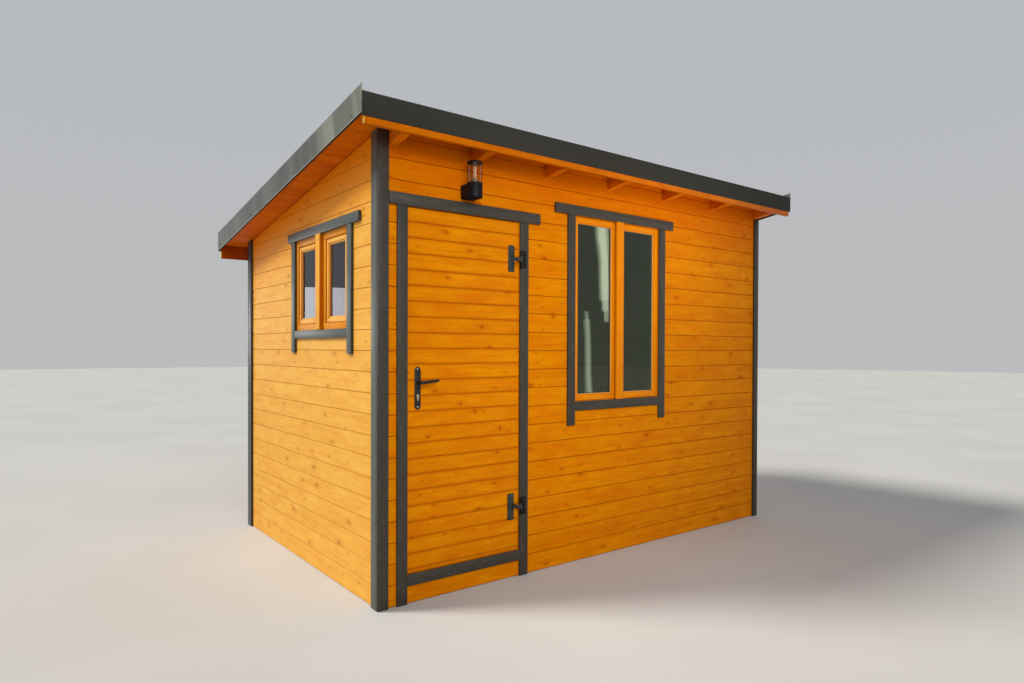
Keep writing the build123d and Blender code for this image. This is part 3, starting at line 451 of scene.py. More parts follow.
# a lighter copy of the joinery stain for the side window: painted sunlight
SASH_PAINTED_SUNLIT = wood("pine_stained_painted_sunlit", rgb(221, 144, 18), rgb(192, 107, 7), rgb(130, 68, 5), tone=0.12, knots=0.06, rings=0.14, spec=0.24, sheen=(1.0, 0.78, 0.3, 1.0))
# an even lighter copy for the side window's middle strip: painted sunlight
STRIP_PAINTED_SUNLIT = wood("pine_stained_strip_painted_sunlit", rgb(236, 174, 66), rgb(208, 134, 34), rgb(150, 84, 12), tone=0.12, knots=0.06, rings=0.14, spec=0.16, sheen=(1.0, 0.78, 0.3, 1.0))
# a darker copy of the joinery stain for faces that look to the front: painted shade
SASH_SHADE = wood("pine_stained_return_painted_shade", rgb(190, 104, 5), rgb(154, 74, 2), rgb(100, 44, 0), tone=0.12, knots=0.0, rings=0.14, spec=0.2, sheen=WARM)
# a light yellow copy of the joinery stain for the side window's beads and sash bars: painted sunlight
BEAD_PAINTED_SUNLIT = wood("pine_stained_bead", rgb(240, 186, 96), rgb(220, 150, 54), rgb(160, 96, 24), tone=0.10, knots=0.0, rings=0.10, spec=0.2, sheen=(1.0, 0.78, 0.3, 1.0))
# a light copy for the front window's beads: a painted highlight on their faces that look left, right and up
BEAD_PAINTED_HIGHLIGHT = wood("pine_stained_bead_painted_highlight", rgb(244, 200, 132), rgb(226, 172, 96), rgb(170, 110, 40), tone=0.10, knots=0.0, rings=0.10, spec=0.2)
RAW = wood("spruce_plain", rgb(226, 196, 150), rgb(196, 152, 100), rgb(120, 74, 40), tone=0.4, knots=0.5, rings=0.3)
FLOOR = wood("spruce_floor", rgb(206, 172, 124), rgb(170, 126, 78), rgb(104, 64, 36), tone=0.45, knots=0.5, rings=0.35)
TRIM = paint("anthracite_paint", rgb(57, 53, 46), rgb(86, 80, 70))
# a lighter, bluer copy of the trim paint for the sunlit left side: painted sunlight
TRIM_PAINTED_SUNLIT = paint("anthracite_paint_painted_sunlit", rgb(79, 85, 82), rgb(102, 104, 97), rough=(0.32, 0.44), spec=0.22)
# a darker copy of the trim paint for faces that look to the front: painted shade
TRIM_SHADE = paint("anthracite_paint_painted_shade", rgb(44, 42, 37), rgb(60, 57, 50))
# a darker copy of the side paint for the back corner's side board: painted shade
TRIM_REAR_PAINTED_SHADE = paint("anthracite_paint_rear_painted_shade", rgb(63, 66, 62), rgb(92, 92, 84))
SHEET = metal_sheet("edge_sheet", rgb(45, 43, 36), 0.58, 0.03, spec=0.16, coat=0.0, spread=0.05)
# the verge carries painted reflection streaks and painted light, lighter towards the front
VERGE = metal_sheet("verge_sheet", rgb(61, 64, 52), 0.22, 0.20, spec=0.5, coat=0.3, spread=0.06, painted_reflection_streaks=0.85, painted_front_light=0.85)
# a lighter copy of the verge sheet for its folded foot: painted highlight
VERGE_EDGE_PAINTED_HIGHLIGHT = metal_sheet("verge_folded_edge_painted_highlight", rgb(150, 148, 130), 0.30, 0.05, spec=0.5, coat=0.0, spread=0.05)
FELT = felt("roof_felt")
BLACK = black_metal("black_coat", rgb(30, 29, 26), spec=0.30)
BLACK_LEAF = black_metal("black_coat_leaf", rgb(42, 47, 43), spec=0.30)
BLACK_DEEP = black_metal("black_coat_hinge", rgb(15, 14, 12), spec=0.15)
BLACK_LAMP = black_metal("lamp_coat", rgb(12, 15, 20), 0.46, spec=0.13)
STEEL = bright_metal("cylinder_nickel", rgb(198, 184, 150), 0.42)
SCREW = bright_metal("screw_steel", rgb(176, 172, 164), 0.36)
SCREW_DARK = black_metal("screw_dark", rgb(52, 52, 54), 0.4)
GLASS = clear_glass("pane_glass", (0.40, 0.46, 0.36, 1.0), gloss=(0.84, 0.94, 0.72, 1.0), ior=1.72, film=0.010)
GLASS_SIDE = clear_glass("pane_glass_side", (0.26, 0.27, 0.28, 1.0), gloss=(0.86, 0.87, 0.92, 1.0), ior=1.66, film=0.008)
LAMP_GLASS = clear_glass("lamp_clear", (0.93, 0.90, 0.84, 1.0), gloss=(0.34, 0.32, 0.30, 1.0), ior=1.25, film=0.0, ripple=0.0)
GASKET = plain_rubber("gasket", rgb(36, 36, 36))
# a light seal colour that also stands in for light caught along the pane edges: painted highlight
PANE_SEAL_PAINTED_HIGHLIGHT = plain_rubber("pane_seal_painted_highlight", rgb(186, 148, 100))
SPACER = plain_rubber("pane_spacer", rgb(236, 230, 214), 0.5)
FOAM = plain_rubber("insulation_board", rgb(214, 204, 178), 0.9)
TUBE = plain_rubber("lamp_frosted", rgb(196, 156, 118), 0.35)
SOCKET = plain_rubber("lamp_socket", rgb(104, 100, 84), 0.4)

# ---------------------------------------------------------------------------
# Mesh helpers
# ---------------------------------------------------------------------------
rnd = random.Random(20417)
FX, FY, FZ = Vector((1, 0, 0)), Vector((0, 1, 0)), Vector((0, 0, 1))


class Mesh:
    """Gathers solids into one mesh. Every corner keeps the board's own coordinates."""

    def __init__(self, name, mats):
        self.name, self.mats = name, mats
        self.bm = bmesh.new()
        self.co = self.bm.loops.layers.float_vector.new("bco")
        self.sd = self.bm.loops.layers.float.new("bsd")
        self.ed = self.bm.loops.layers.float.new("edge")

    def index(self, mat):
        if mat not in self.mats:
            self.mats.append(mat)
        return self.mats.index(mat)

    def turn(self, a, b, way=(0.0, -1.0, 0.0)):
        """Gives the faces of one material that look one way, as a rule to the front, another one; it paints light and
        shade by the way a face looks.
        """
        i, j = self.index(a), self.index(b)
        self.bm.normal_update()
        for f in self.bm.faces:
            if f.material_index == i and f.normal.dot(Vector(way)) > 0.7:
                f.material_index = j

    def take(self, bm):
        """Adds another bmesh that has the same layers."""
        me = bpy.data.meshes.new("tmp")
        bm.to_mesh(me)
        bm.free()
        self.bm.from_mesh(me)
        bpy.data.meshes.remove(me)

    def new(self):
        bm = bmesh.new()
        return bm, bm.loops.layers.float_vector.new("bco"), bm.loops.layers.float.new("bsd"), bm.loops.layers.float.new("edge")

    def board(self, origin, along, across, out, a0, a1, profile, mat, seed=None, shift=0.0, cuts=(), smooth=False):
        """Extrudes a profile of (across, out) points, in mm, from a0 to a1 along the grain."""
        seed = rnd.uniform(0.0, 9.0) if seed is None else seed
        bm, co, sd, ed = self.new()
        o = Vector(origin)
        ends = []
        for a in (a0, a1):
            ends.append([bm.verts.new(o + along * (a / 1000) + across * (c / 1000) + out * (n / 1000)) for c, n in profile])
        k = len(profile)
        mi = self.index(mat)
        sides = []
        for i in range(k):
            j = (i + 1) % k
            sides.append(bm.faces.new((ends[0][i], ends[0][j], ends[1][j], ends[1][i])))
        caps = [bm.faces.new(ends[0][::-1]), bm.faces.new(ends[1])]
        for plane_co, plane_no in cuts:
            geom = list(bm.verts) + list(bm.edges) + list(bm.faces)
            cut = bmesh.ops.bisect_plane(bm, geom=geom, dist=1e-6, plane_co=plane_co, plane_no=plane_no, clear_outer=True)
            rim = [e for e in cut["geom_cut"] if isinstance(e, bmesh.types.BMEdge)]
            if rim:
                bmesh.ops.holes_fill(bm, edges=rim, sides=0)
        if not bm.faces:
            bm.free()
            return
        bmesh.ops.recalc_face_normals(bm, faces=bm.faces)
        for f in bm.faces:
            f.material_index = mi
            f.smooth = smooth
            for lp in f.loops:
                d = lp.vert.co - o
                lp[co] = Vector((d.dot(along) + shift, d.dot(across), d.dot(out)))
                lp[sd] = seed
                lp[ed] = 0.0
        self.take(bm)

    def bar(self, lo, hi, grain, mat, bevel=2.0, seed=None, cuts=(), segments=2, face="Y"):
        """A bevelled bar between two corners, in metres. grain is the axis that the wood runs along."""
        seed = rnd.uniform(0.0, 9.0) if seed is None else seed
        bm, co, sd, ed = self.new()
        lo, hi = Vector(lo), Vector(hi)
        bmesh.ops.create_cube(bm, size=1.0)
        size, mid = hi - lo, (hi + lo) / 2
        for v in bm.verts:
            v.co = Vector((v.co.x * size.x, v.co.y * size.y, v.co.z * size.z)) + mid
        for plane_co, plane_no in cuts:
            geom = list(bm.verts) + list(bm.edges) + list(bm.faces)
            cut = bmesh.ops.bisect_plane(bm, geom=geom, dist=1e-6, plane_co=plane_co, plane_no=plane_no, clear_outer=True)
            rim = [e for e in cut["geom_cut"] if isinstance(e, bmesh.types.BMEdge)]
            if rim:
                bmesh.ops.holes_fill(bm, edges=rim, sides=0)
        flat = list(bm.faces)
        if bevel > 0:
            b = min(bevel / 1000, min(size) * 0.45)
            made = bmesh.ops.bevel(bm, geom=list(bm.edges), offset=b, segments=segments, profile=0.5, affect="EDGES", clamp_overlap=True)
            for f in bm.faces:
                f.tag = False
            for f in made["faces"]:
                f.tag = True
        bmesh.ops.recalc_face_normals(bm, faces=bm.faces)
        mi = self.index(mat)
        order = {"X": (0, 2, 1), "Y": (1, 2, 0), "Z": (2, 0, 1)}[grain]
        if grain == "X" and face == "Z":
            order = (0, 1, 2)
        if grain == "Y" and face == "Z":
            order = (1, 0, 2)
        if grain == "Z" and face == "X":
            order = (2, 1, 0)
        start = Vector((lo[order[0]], lo[order[1]], mid[order[2]]))
        for f in bm.faces:
            f.material_index = mi
            f.smooth = bool(bevel > 0 and f.tag)
            for lp in f.loops:
                c = lp.vert.co
                lp[co] = Vector((c[order[0]] - start[0], c[order[1]] - start[1], c[order[2]] - start[2]))
                lp[sd] = seed
                lp[ed] = 1.0 if f.tag else 0.0
        self.take(bm)

    def prism(self, points, axis, lo, hi, mat, bevel=0.0, segments=2, seed=None, smooth_sides=False):
        """A closed outline of points in the plane across the axis, in metres, extruded from lo to hi."""
        seed = rnd.uniform(0.0, 9.0) if seed is None else seed
        bm, co, sd, ed = self.new()
        put = {"X": lambda a, p, q: Vector((a, p, q)), "Y": lambda a, p, q: Vector((p, a, q)), "Z": lambda a, p, q: Vector((p, q, a))}[axis]
        ends = [[bm.verts.new(put(a, p, q)) for p, q in points] for a in (lo, hi)]
        k = len(points)
        sides = [bm.faces.new((ends[0][i], ends[0][(i + 1) % k], ends[1][(i + 1) % k], ends[1][i])) for i in range(k)]
        caps = [bm.faces.new(ends[0][::-1]), bm.faces.new(ends[1])]
        for f in bm.faces:
            f.tag = False
        if bevel > 0:
            rims = [e for f in caps for e in f.edges]
            edges = rims if smooth_sides else list(bm.edges)
            made = bmesh.ops.bevel(bm, geom=edges, offset=bevel / 1000, segments=segments, profile=0.5, affect="EDGES", clamp_overlap=True)
            for f in made["faces"]:
                f.tag = True
        bmesh.ops.recalc_face_normals(bm, faces=bm.faces)
        mi = self.index(mat)
        n_axis = {"X": 0, "Y": 1, "Z": 2}[axis]
        for f in bm.faces:
            f.material_index = mi
            f.smooth = f.tag or (smooth_sides and abs(f.normal[n_axis]) < 0.5)
            for lp in f.loops:
                c = lp.vert.co
                lp[co] = Vector((c[n_axis], c[(n_axis + 1) % 3], c[(n_axis + 2) % 3]))
                lp[sd] = seed
                lp[ed] = 1.0 if f.tag else 0.0
        self.take(bm)

    def lathe(self, centre, axis, rings, mat, steps=32, seed=0.5, smooth=True):
        """Turns (radius, height) points, in mm, round an axis through centre, in metres."""
        bm, co, sd, ed = self.new()
        axis = Vector(axis).normalized()
        e1 = axis.orthogonal().normalized()
        e2 = axis.cross(e1)
        c = Vector(centre)
        loops = []
        for r, h in rings:
            if r <= 0:
                loops.append([bm.verts.new(c + axis * (h / 1000))])
            else:
                loops.append([bm.verts.new(c + axis * (h / 1000) + (e1 * math.cos(2 * math.pi * i / steps) + e2 * math.sin(2 * math.pi * i / steps)) * (r / 1000)) for i in range(steps)])
        for a, b in zip(loops, loops[1:]):
            for i in range(steps):
                j = (i + 1) % steps
                if len(a) == 1 and len(b) == 1:
                    continue
                if len(a) == 1:
                    bm.faces.new((a[0], b[j], b[i]))
                elif len(b) == 1:
                    bm.faces.new((a[i], a[j], b[0]))
                else:
                    bm.faces.new((a[i], a[j], b[j], b[i]))
        bmesh.ops.recalc_face_normals(bm, faces=bm.faces)
        mi = self.index(mat)
        for f in bm.faces:
            f.material_index = mi
            f.smooth = smooth
            for lp in f.loops:
                d = lp.vert.co - c
                lp[co] = Vector((d.dot(axis), d.dot(e1), d.dot(e2)))
                lp[sd] = seed
                lp[ed] = 0.0
        # sharp where the profile turns hard
        for e in bm.edges:
            if len(e.link_faces) == 2 and e.calc_face_angle(0.0) > math.radians(38):
                e.smooth = False
        self.take(bm)

    def done(self, body="cabin", replaces=()):
        me = bpy.data.meshes.new(self.name)
        self.bm.to_mesh(me)
        self.bm.free()
        for mt in self.mats:
            me.materials.append(mt)
        ob = bpy.data.objects.new(self.name, me)
        bpy.context.scene.collection.objects.link(ob)
        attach(ob, body)
        if replaces:
            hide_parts(*replaces)
        return ob


def clad_profile(w, t=19.0, gap=0.8, r=2.2, slot=7.0, c0=None, c1=None):
    """A matched board's section as (across, out) points: out 0 is the face, the board goes in to -t."""
    pts = [
        (0, -t), (w, -t), (w, -slot), (w - gap, -slot), (w - gap, -r), (w - gap - 0.3 * r, -0.3 * r), (w - gap - r, 0.0),
        (gap + r, 0.0), (gap + 0.3 * r, -0.3 * r), (gap, -r), (gap, -slot), (0, -slot),
    ]
    if c0 is not None:
        pts = clip_profile(pts, c0, 1)
    if c1 is not None:
        pts = clip_profile(pts, c1, -1)
    return pts


def clip_profile(pts, at, sign):
    out = []
    for i, p in enumerate(pts):
        q = pts[(i + 1) % len(pts)]
        pin, qin = sign * (p[0] - at) >= 0, sign * (q[0] - at) >= 0
        if pin:
            out.append(p)
        if pin != qin:
            k = (at - p[0]) / (q[0] - p[0])
            out.append((at, p[1] + k * (q[1] - p[1])))
    clean = []
    for p in out:
        if not clean or (abs(p[0] - clean[-1][0]) > 1e-6 or abs(p[1] - clean[-1][1]) > 1e-6):
            clean.append(p)
    return clean


def rows(mesh, origin, along, out, length, top, pitch, holes, mat, start=0.0, zlo=0.0, cuts=(), seeds=None, t=19.0, gap=0.8, r=2.2, slot=7.0, segments=None):
    """Horizontal boards up a wall. Each board stops at the holes, and a hole's edge may notch it."""
    n = 0
    z = start
    while z < top - 1:
        r0, r1 = z, z + pitch
        seed = seeds[n] if seeds else rnd.uniform(0.0, 9.0)
        shift = (seed * 0.37) % 1.0
        lo, hi = max(r0, zlo), min(r1, top)
        if hi - lo > 1.5:
            hit = [h for h in holes if h[2] < hi - 0.5 and h[3] > lo + 0.5]
            edges = [0.0]
            for h in sorted(hit):
                edges += [h[0], h[1]]
            edges.append(length)
            for i in range(0, len(edges), 2):
                pr = clad_profile(pitch, t, gap, r, slot, lo - r0 if lo > r0 else None, hi - r0 if hi < r1 else None)
                spans = [(edges[i], edges[i + 1])] if segments is None else [(max(a, edges[i]), min(b, edges[i + 1])) for a, b in segments if min(b, edges[i + 1]) - max(a, edges[i]) > 1]
                for a, b in spans:
                    if b - a > 1:
                        mesh.board(origin + FZ * (r0 / 1000), along, FZ, out, a, b, pr, mat, seed, shift, cuts)
            for h in hit:
                if h[2] - lo > 3:
                    mesh.board(origin + FZ * (r0 / 1000), along, FZ, out, h[0], h[1], clad_profile(pitch, t, gap, r, slot, None if lo <= r0 else lo - r0, h[2] - r0), mat, seed, shift, cuts)
                if hi - h[3] > 3:
                    mesh.board(origin + FZ * (r0 / 1000), along, FZ, out, h[0], h[1], clad_profile(pitch, t, gap, r, slot, h[3] - r0, hi - r0 if hi < r1 else None), mat, seed, shift, cuts)
        z += pitch
        n += 1


def door_profile(w, c0=None, c1=None):
    """A door board's section: shallow wide chamfers meet in a V at each joint."""
    pts = [(0, -20.0), (w, -20.0), (w, -4.6), (w - 0.25, -4.6), (w - 0.25, -3.4), (w - 4.2, -0.5), (w - 7.0, 0.0), (5.0, 0.0), (2.8, -0.4), (0.25, -2.6), (0.25, -4.6), (0, -4.6)]
    if c0 is not None:
        pts = clip_profile(pts, c0, 1)
    if c1 is not None:
        pts = clip_profile(pts, c1, -1)
    return pts


def screw_head(mesh, at, out, mat, r=4.0, h=1.2):
    """A small domed head that stands on a face."""
    mesh.lathe(at, out, [(r, -0.3), (r, 0.25 * h), (r * 0.8, 0.75 * h), (r * 0.45, h), (r * 0.28, h), (r * 0.22, 0.55 * h), (0, 0.55 * h)], mat, steps=14)


# ---------------------------------------------------------------------------
# Walls
# ---------------------------------------------------------------------------
roof_point = Vector((0, Y(0), SOFFIT / 1000))
roof_normal = Vector((0, SLOPE, 1)).normalized()
raft_point = Vector((0, Y(0), (SOFFIT - RAFTER_D) / 1000))
UNDER_ROOF = [(roof_point - roof_normal * 0.0002, roof_normal)]
UNDER_RAFTERS = [(raft_point, roof_normal)]
UNDER_GAP = [(roof_point - roof_normal * 0.006, roof_normal)]
BOARD = 19.0
LINING = 15.0
row_seeds = [rnd.uniform(0.0, 9.0) for _ in range(30)]
back_seeds = [rnd.uniform(0.0, 9.0) for _ in range(30)]
left_seeds = [rnd.uniform(0.0, 9.0) for _ in range(30)]
right_seeds = [rnd.uniform(0.0, 9.0) for _ in range(30)]
in_seeds = [[rnd.uniform(0.0, 9.0) for _ in range(40)] for _ in range(4)]

FRONT_O = Vector((X(0), Y(0), 0))
BACK_O = Vector((X(0), Y(2 * WY), 0))
LEFT_O = Vector((X(0), Y(0), 0))
RIGHT_O = Vector((X(2 * WX), Y(0), 0))

# the front wall
front = Mesh("front_wall_boards", [STAIN])
rows(front, FRONT_O, FX, -FY, 2 * WX - BOARD, raft(0) - 0.0, PITCH, [HOLE_DOOR, HOLE_FWIN], STAIN, seeds=row_seeds, segments=[(BOARD, 2 * WX - BOARD)])


def core_panel(mesh, along, hi_fn, lo, hi, zlo, zhi, face0, face1, axis):
    """The framed middle of a wall between the outer boards and the lining."""
    if axis == "X":
        mesh.bar((X(lo), Y(face0), zlo / 1000), (X(hi), Y(face1), zhi / 1000), "X", RAW, 0)
    else:
        mesh.bar((X(face0), Y(lo), zlo / 1000), (X(face1), Y(hi), zhi / 1000), "Y", RAW, 0)


hd, hf = HOLE_DOOR, HOLE_FWIN
for a, b, zl, zh in ((BOARD, hd[0], 0, raft(WT)), (hd[0], hd[1], 0, hd[2]), (hd[0], hd[1], hd[3], raft(WT)), (hd[1], hf[0], 0, raft(WT)),
                     (hf[0], hf[1], 0, hf[2]), (hf[0], hf[1], hf[3], raft(WT)), (hf[1], 2 * WX - BOARD, 0, raft(WT))):
    core_panel(front, None, None, a, b, zl, zh, BOARD, WT - LINING, "X")
IN_TOP_F = raft(WT)
rows(front, Vector((X(WT), Y(WT), 0)), FX, FY, 2 * WX - 2 * WT, IN_TOP_F, 96.0,
     [(h[0] - WT, h[1] - WT, h[2], h[3]) for h in (HOLE_DOOR, HOLE_FWIN)], RAW, start=150.0, seeds=in_seeds[0], t=LINING, gap=0.5, r=3.0, slot=6.0)
front.done(replaces=("front_wall_left", "front_wall_over_door", "front_wall_under_door", "front_wall_right"))

# the back wall
back = Mesh("back_wall_boards", [STAIN])
rows(back, BACK_O, FX, FY, 2 * WX, raft(2 * WY), PITCH, [], STAIN, seeds=back_seeds, segments=[(BOARD, 2 * WX - BOARD)], cuts=UNDER_RAFTERS)
core_panel(back, None, None, BOARD, 2 * WX - BOARD, 0, raft(2 * WY), 2 * WY - WT + LINING, 2 * WY - BOARD, "X")
rows(back, Vector((X(WT), Y(2 * WY - WT), 0)), FX, -FY, 2 * WX - 2 * WT, raft(2 * WY - WT), 96.0, [], RAW, start=150.0, seeds=in_seeds[1], t=LINING, gap=0.5, r=3.0, slot=6.0, cuts=UNDER_RAFTERS)
back.done(replaces=("back_wall",))

# the side walls
# the left wall's boards take the painted-sunlit copy of the stain
left = Mesh("left_wall_boards", [STAIN_PAINTED_SUNLIT])
rows(left, LEFT_O, FY, -FX, 2 * WY, SOFFIT, PITCH, [HOLE_SWIN], STAIN_PAINTED_SUNLIT, seeds=left_seeds, cuts=UNDER_GAP)
lo_t, hi_t = soffit(2 * WY), soffit(0)
for a, b, zl, zh in ((BOARD, HOLE_SWIN[0], 0, 2500), (HOLE_SWIN[0], HOLE_SWIN[1], 0, HOLE_SWIN[2]), (HOLE_SWIN[0], HOLE_SWIN[1], HOLE_SWIN[3], 2500), (HOLE_SWIN[1], 2 * WY - BOARD, 0, 2500)):
    left.bar((X(BOARD), Y(a), zl / 1000), (X(50), Y(b), zh / 1000), "Y", RAW, 0, cuts=UNDER_ROOF)
    left.bar((X(50), Y(a), zl / 1000), (X(WT - LINING), Y(b), zh / 1000), "Y", RAW, 0, cuts=UNDER_RAFTERS)
rows(left, Vector((X(WT), Y(WT), 0)), FY, FX, 2 * WY - 2 * WT, raft(WT), 96.0, [(HOLE_SWIN[0] - WT, HOLE_SWIN[1] - WT, HOLE_SWIN[2], HOLE_SWIN[3])], RAW,
     start=150.0, seeds=in_seeds[2], t=LINING, gap=0.5, r=3.0, slot=6.0, cuts=UNDER_RAFTERS)
left.done(replaces=("left_wall",))

right = Mesh("right_wall_boards", [STAIN])
rows(right, RIGHT_O, FY, FX, 2 * WY, SOFFIT, PITCH, [], STAIN, seeds=right_seeds, cuts=UNDER_GAP, t=17.0)
right.bar((X(2 * WX - WT + LINING), Y(BOARD), 0), (X(2 * WX - 17), Y(2 * WY - BOARD), 2.5), "Y", RAW, 0, cuts=UNDER_RAFTERS)
rows(right, Vector((X(2 * WX - WT), Y(WT), 0)), FY, -FX, 2 * WY - 2 * WT, raft(WT), 96.0, [], RAW, start=150.0, seeds=in_seeds[3], t=LINING, gap=0.5, r=3.0, slot=6.0, cuts=UNDER_RAFTERS)
right.done(replaces=("right_wall",))

# boards between the rafters, front and back
eaves = Mesh("eaves_boards", [STAIN])
edges = [BOARD] + [e for u in RAFTER_U for e in (u, u + RAFTER_W)] + [2 * WX - BOARD]
gaps = [(edges[i], edges[i + 1]) for i in range(0, len(edges), 2) if edges[i + 1] - edges[i] > 2]
rows(eaves, FRONT_O, FX, -FY, 2 * WX, SOFFIT, PITCH, [], STAIN, seeds=row_seeds, segments=gaps, zlo=raft(0), cuts=UNDER_ROOF)
rows(eaves, BACK_O, FX, FY, 2 * WX, soffit(2 * WY) + 2, PITCH, [], STAIN, seeds=back_seeds, segments=gaps, zlo=raft(2 * WY), cuts=UNDER_ROOF)
for a, b in gaps:
    for v0, v1 in ((BOARD, WT), (2 * WY - WT, 2 * WY - BOARD)):
        eaves.bar((X(a), Y(v0), raft(v1) / 1000), (X(b), Y(v1), soffit(v0) / 1000), "X", RAW, 0, cuts=UNDER_ROOF)
eaves.done(replaces=("eaves_blocks",))

# ---------------------------------------------------------------------------
# Floor
# ---------------------------------------------------------------------------
floor = Mesh("floor_planks", [FLOOR])
w = 2 * (WX - WT) / 23
for i in range(23):
    a = WT + i * w
    pr = clad_profile(w, 25.0, 0.4, 1.5, 5.0)
    floor.board(Vector((X(a), Y(WT), 0.150)), FY, FX, FZ, 0, 2 * WY - 2 * WT, pr, FLOOR)
floor.done(replaces=("floor_boards",))
joists = Mesh("joist_timbers", [RAW])
for i in range(5):
    x = -1.4 + 0.7 * i
    joists.bar((x - 0.03, Y(WT), 0), (x + 0.03, Y(2 * WY - WT), 0.125), "Y", RAW, 3)
joists.done(replaces=("floor_joists",))

# ---------------------------------------------------------------------------
# Roof
# ---------------------------------------------------------------------------
ROOF_X, ROOF_Y = WX + OVER, WY + OVER
RX = ROOF_X - 20
V0, V1 = -OVER + 30, 2 * WY + OVER - 30          # roof boards' ends
roof_dir = Vector((0, 1, -SLOPE)).normalized()
run = math.sqrt(1 + SLOPE ** 2)


def roof_at(v, up=0.0, x=0.0):
    """A point on the roof boards' underside, raised straight up by some mm."""
    return Vector((x, Y(v), (soffit(v) + up) / 1000))


roof = Mesh("roof_planks", [SOFFIT_STAIN])
total = (V1 - V0) * run
n_boards = 22
bw = total / n_boards
for i in range(n_boards):
    start = roof_at(V0) + roof_dir * (i * bw / 1000)
    pr = clad_profile(bw, 20.0 / run, 0.7, 2.4, 6.0)
    roof.board(Vector((-RX / 1000, start.y, start.z)), FX, roof_dir, -roof_normal, 0, 2 * RX, pr, SOFFIT_STAIN)
roof.done(replaces=("roof_boards",))

rafters = Mesh("rafter_timbers", [SOFFIT_STAIN])
for u in RAFTER_U:
    pts = [(Y(V0), raft(V0) / 1000), (Y(V1), raft(V1) / 1000), (Y(V1), soffit(V1) / 1000 - 0.0004), (Y(V0), soffit(V0) / 1000 - 0.0004)]
    sd = rnd.uniform(0, 9)
    rafters.prism(pts, "X", X(u), X(u + RAFTER_W), SOFFIT_STAIN, bevel=2.5, seed=sd)
ob = rafters.done(replaces=("rafters",))
me = ob.data                                   # the grain runs down the rafters
lay = me.attributes["bco"].data
for poly in me.polygons:
    for li in poly.loop_indices:
        c = me.vertices[me.loops[li].vertex_index].co
        lay[li].vector = (c.y, c.z + SLOPE * c.y - 2.2, c.x % 0.0455)

fascias = Mesh("fascia_planks", [FASCIA, FASCIA_BACK_PAINTED_SHADE, FASCIA_END_PAINTED_SUNLIT])
fascias.prism([(Y(-OVER + 3), 2.454), (Y(V0), 2.454), (Y(V0), (soffit(V0) + 60) / 1000), (Y(-OVER + 3), (soffit(-OVER + 3) + 60) / 1000)], "X", -RX / 1000, RX / 1000, FASCIA, bevel=2.5)
# the back fascia takes the darker painted-shade stain
fascias.prism([(Y(V1), 2.060), (Y(2 * WY + OVER - 3), 2.060), (Y(2 * WY + OVER - 3), (soffit(2 * WY + OVER - 3) + 60) / 1000), (Y(V1), (soffit(V1) + 60) / 1000)], "X", -RX / 1000, RX / 1000, FASCIA_BACK_PAINTED_SHADE, bevel=2.5)
# light yellow plates on the boards' cut ends: painted sunlight
for side in (-1, 1):
    a, b = sorted((side * RX / 1000, side * (RX + 0.5) / 1000))
    fascias.prism([(Y(-OVER + 6), 2.457), (Y(V0 - 3), 2.457), (Y(V0 - 3), (soffit(V0) - 26) / 1000), (Y(-OVER + 6), (soffit(V0) - 26) / 1000)], "X", a, b, FASCIA_END_PAINTED_SUNLIT)
    fascias.prism([(Y(V1 + 3), 2.063), (Y(2 * WY + OVER - 6), 2.063), (Y(2 * WY + OVER - 6), (soffit(V1) - 30) / 1000), (Y(V1 + 3), (soffit(V1) - 30) / 1000)], "X", a, b, FASCIA_END_PAINTED_SUNLIT)
fascias.done(replaces=("fascia_boards",))

barges = Mesh("barge_planks", [SOFFIT_STAIN])
for x0, x1 in ((-ROOF_X + 3, -RX), (RX, ROOF_X - 3)):
    va, vb = -OVER + 3, 2 * WY + OVER - 3
    pts = [(Y(va), (soffit(va) - 24) / 1000), (Y(vb), (soffit(vb) - 24) / 1000), (Y(vb), (soffit(vb) + 60) / 1000), (Y(va), (soffit(va) + 60) / 1000)]
    barges.prism(pts, "X", x0 / 1000, x1 / 1000, SOFFIT_STAIN, bevel=2.0)
ob = barges.done(replaces=("barge_boards",))
me = ob.data
lay = me.attributes["bco"].data
for poly in me.polygons:
    for li in poly.loop_indices:
        c = me.vertices[me.loops[li].vertex_index].co
        lay[li].vector = (c.y, c.z + SLOPE * c.y - 2.2, 0.0)

# membrane on top: sheets that lap over each other down the slope
cover = Mesh("roof_membrane", [FELT])
va, vb = -OVER + 3.2, 2 * WY + OVER - 3.2
lap = 90.0
n_sheets = 3
span = (vb - va) / n_sheets
up0 = 60.7
for i in range(n_sheets):
    a = va + i * span
    b = va + (i + 1) * span + (lap if i < n_sheets - 1 else 0)
    # the upper sheet rides over the lower one along its lower edge
    prof = [(a, 2.8), (b - lap - 45, 2.8), (b - lap - 10, 4.4 if i < n_sheets - 1 else 2.8), (b, 5.6 if i < n_sheets - 1 else 2.8)]
    lower = [(b, 3.2 if i < n_sheets - 1 else 0.0), (b - lap - 10, 0.2), (a, 0.0)]
    pts = [(Y(v), (soffit(v) + up0 + t) / 1000) for v, t in prof + lower]
    cover.prism(pts, "X", -(ROOF_X - 3.4) / 1000, (ROOF_X - 3.4) / 1000, FELT)
cover.done(replaces=("roof_covering",))

# edge flashings
lead = Mesh("front_edge_sheet", [SHEET])
up = 66.5


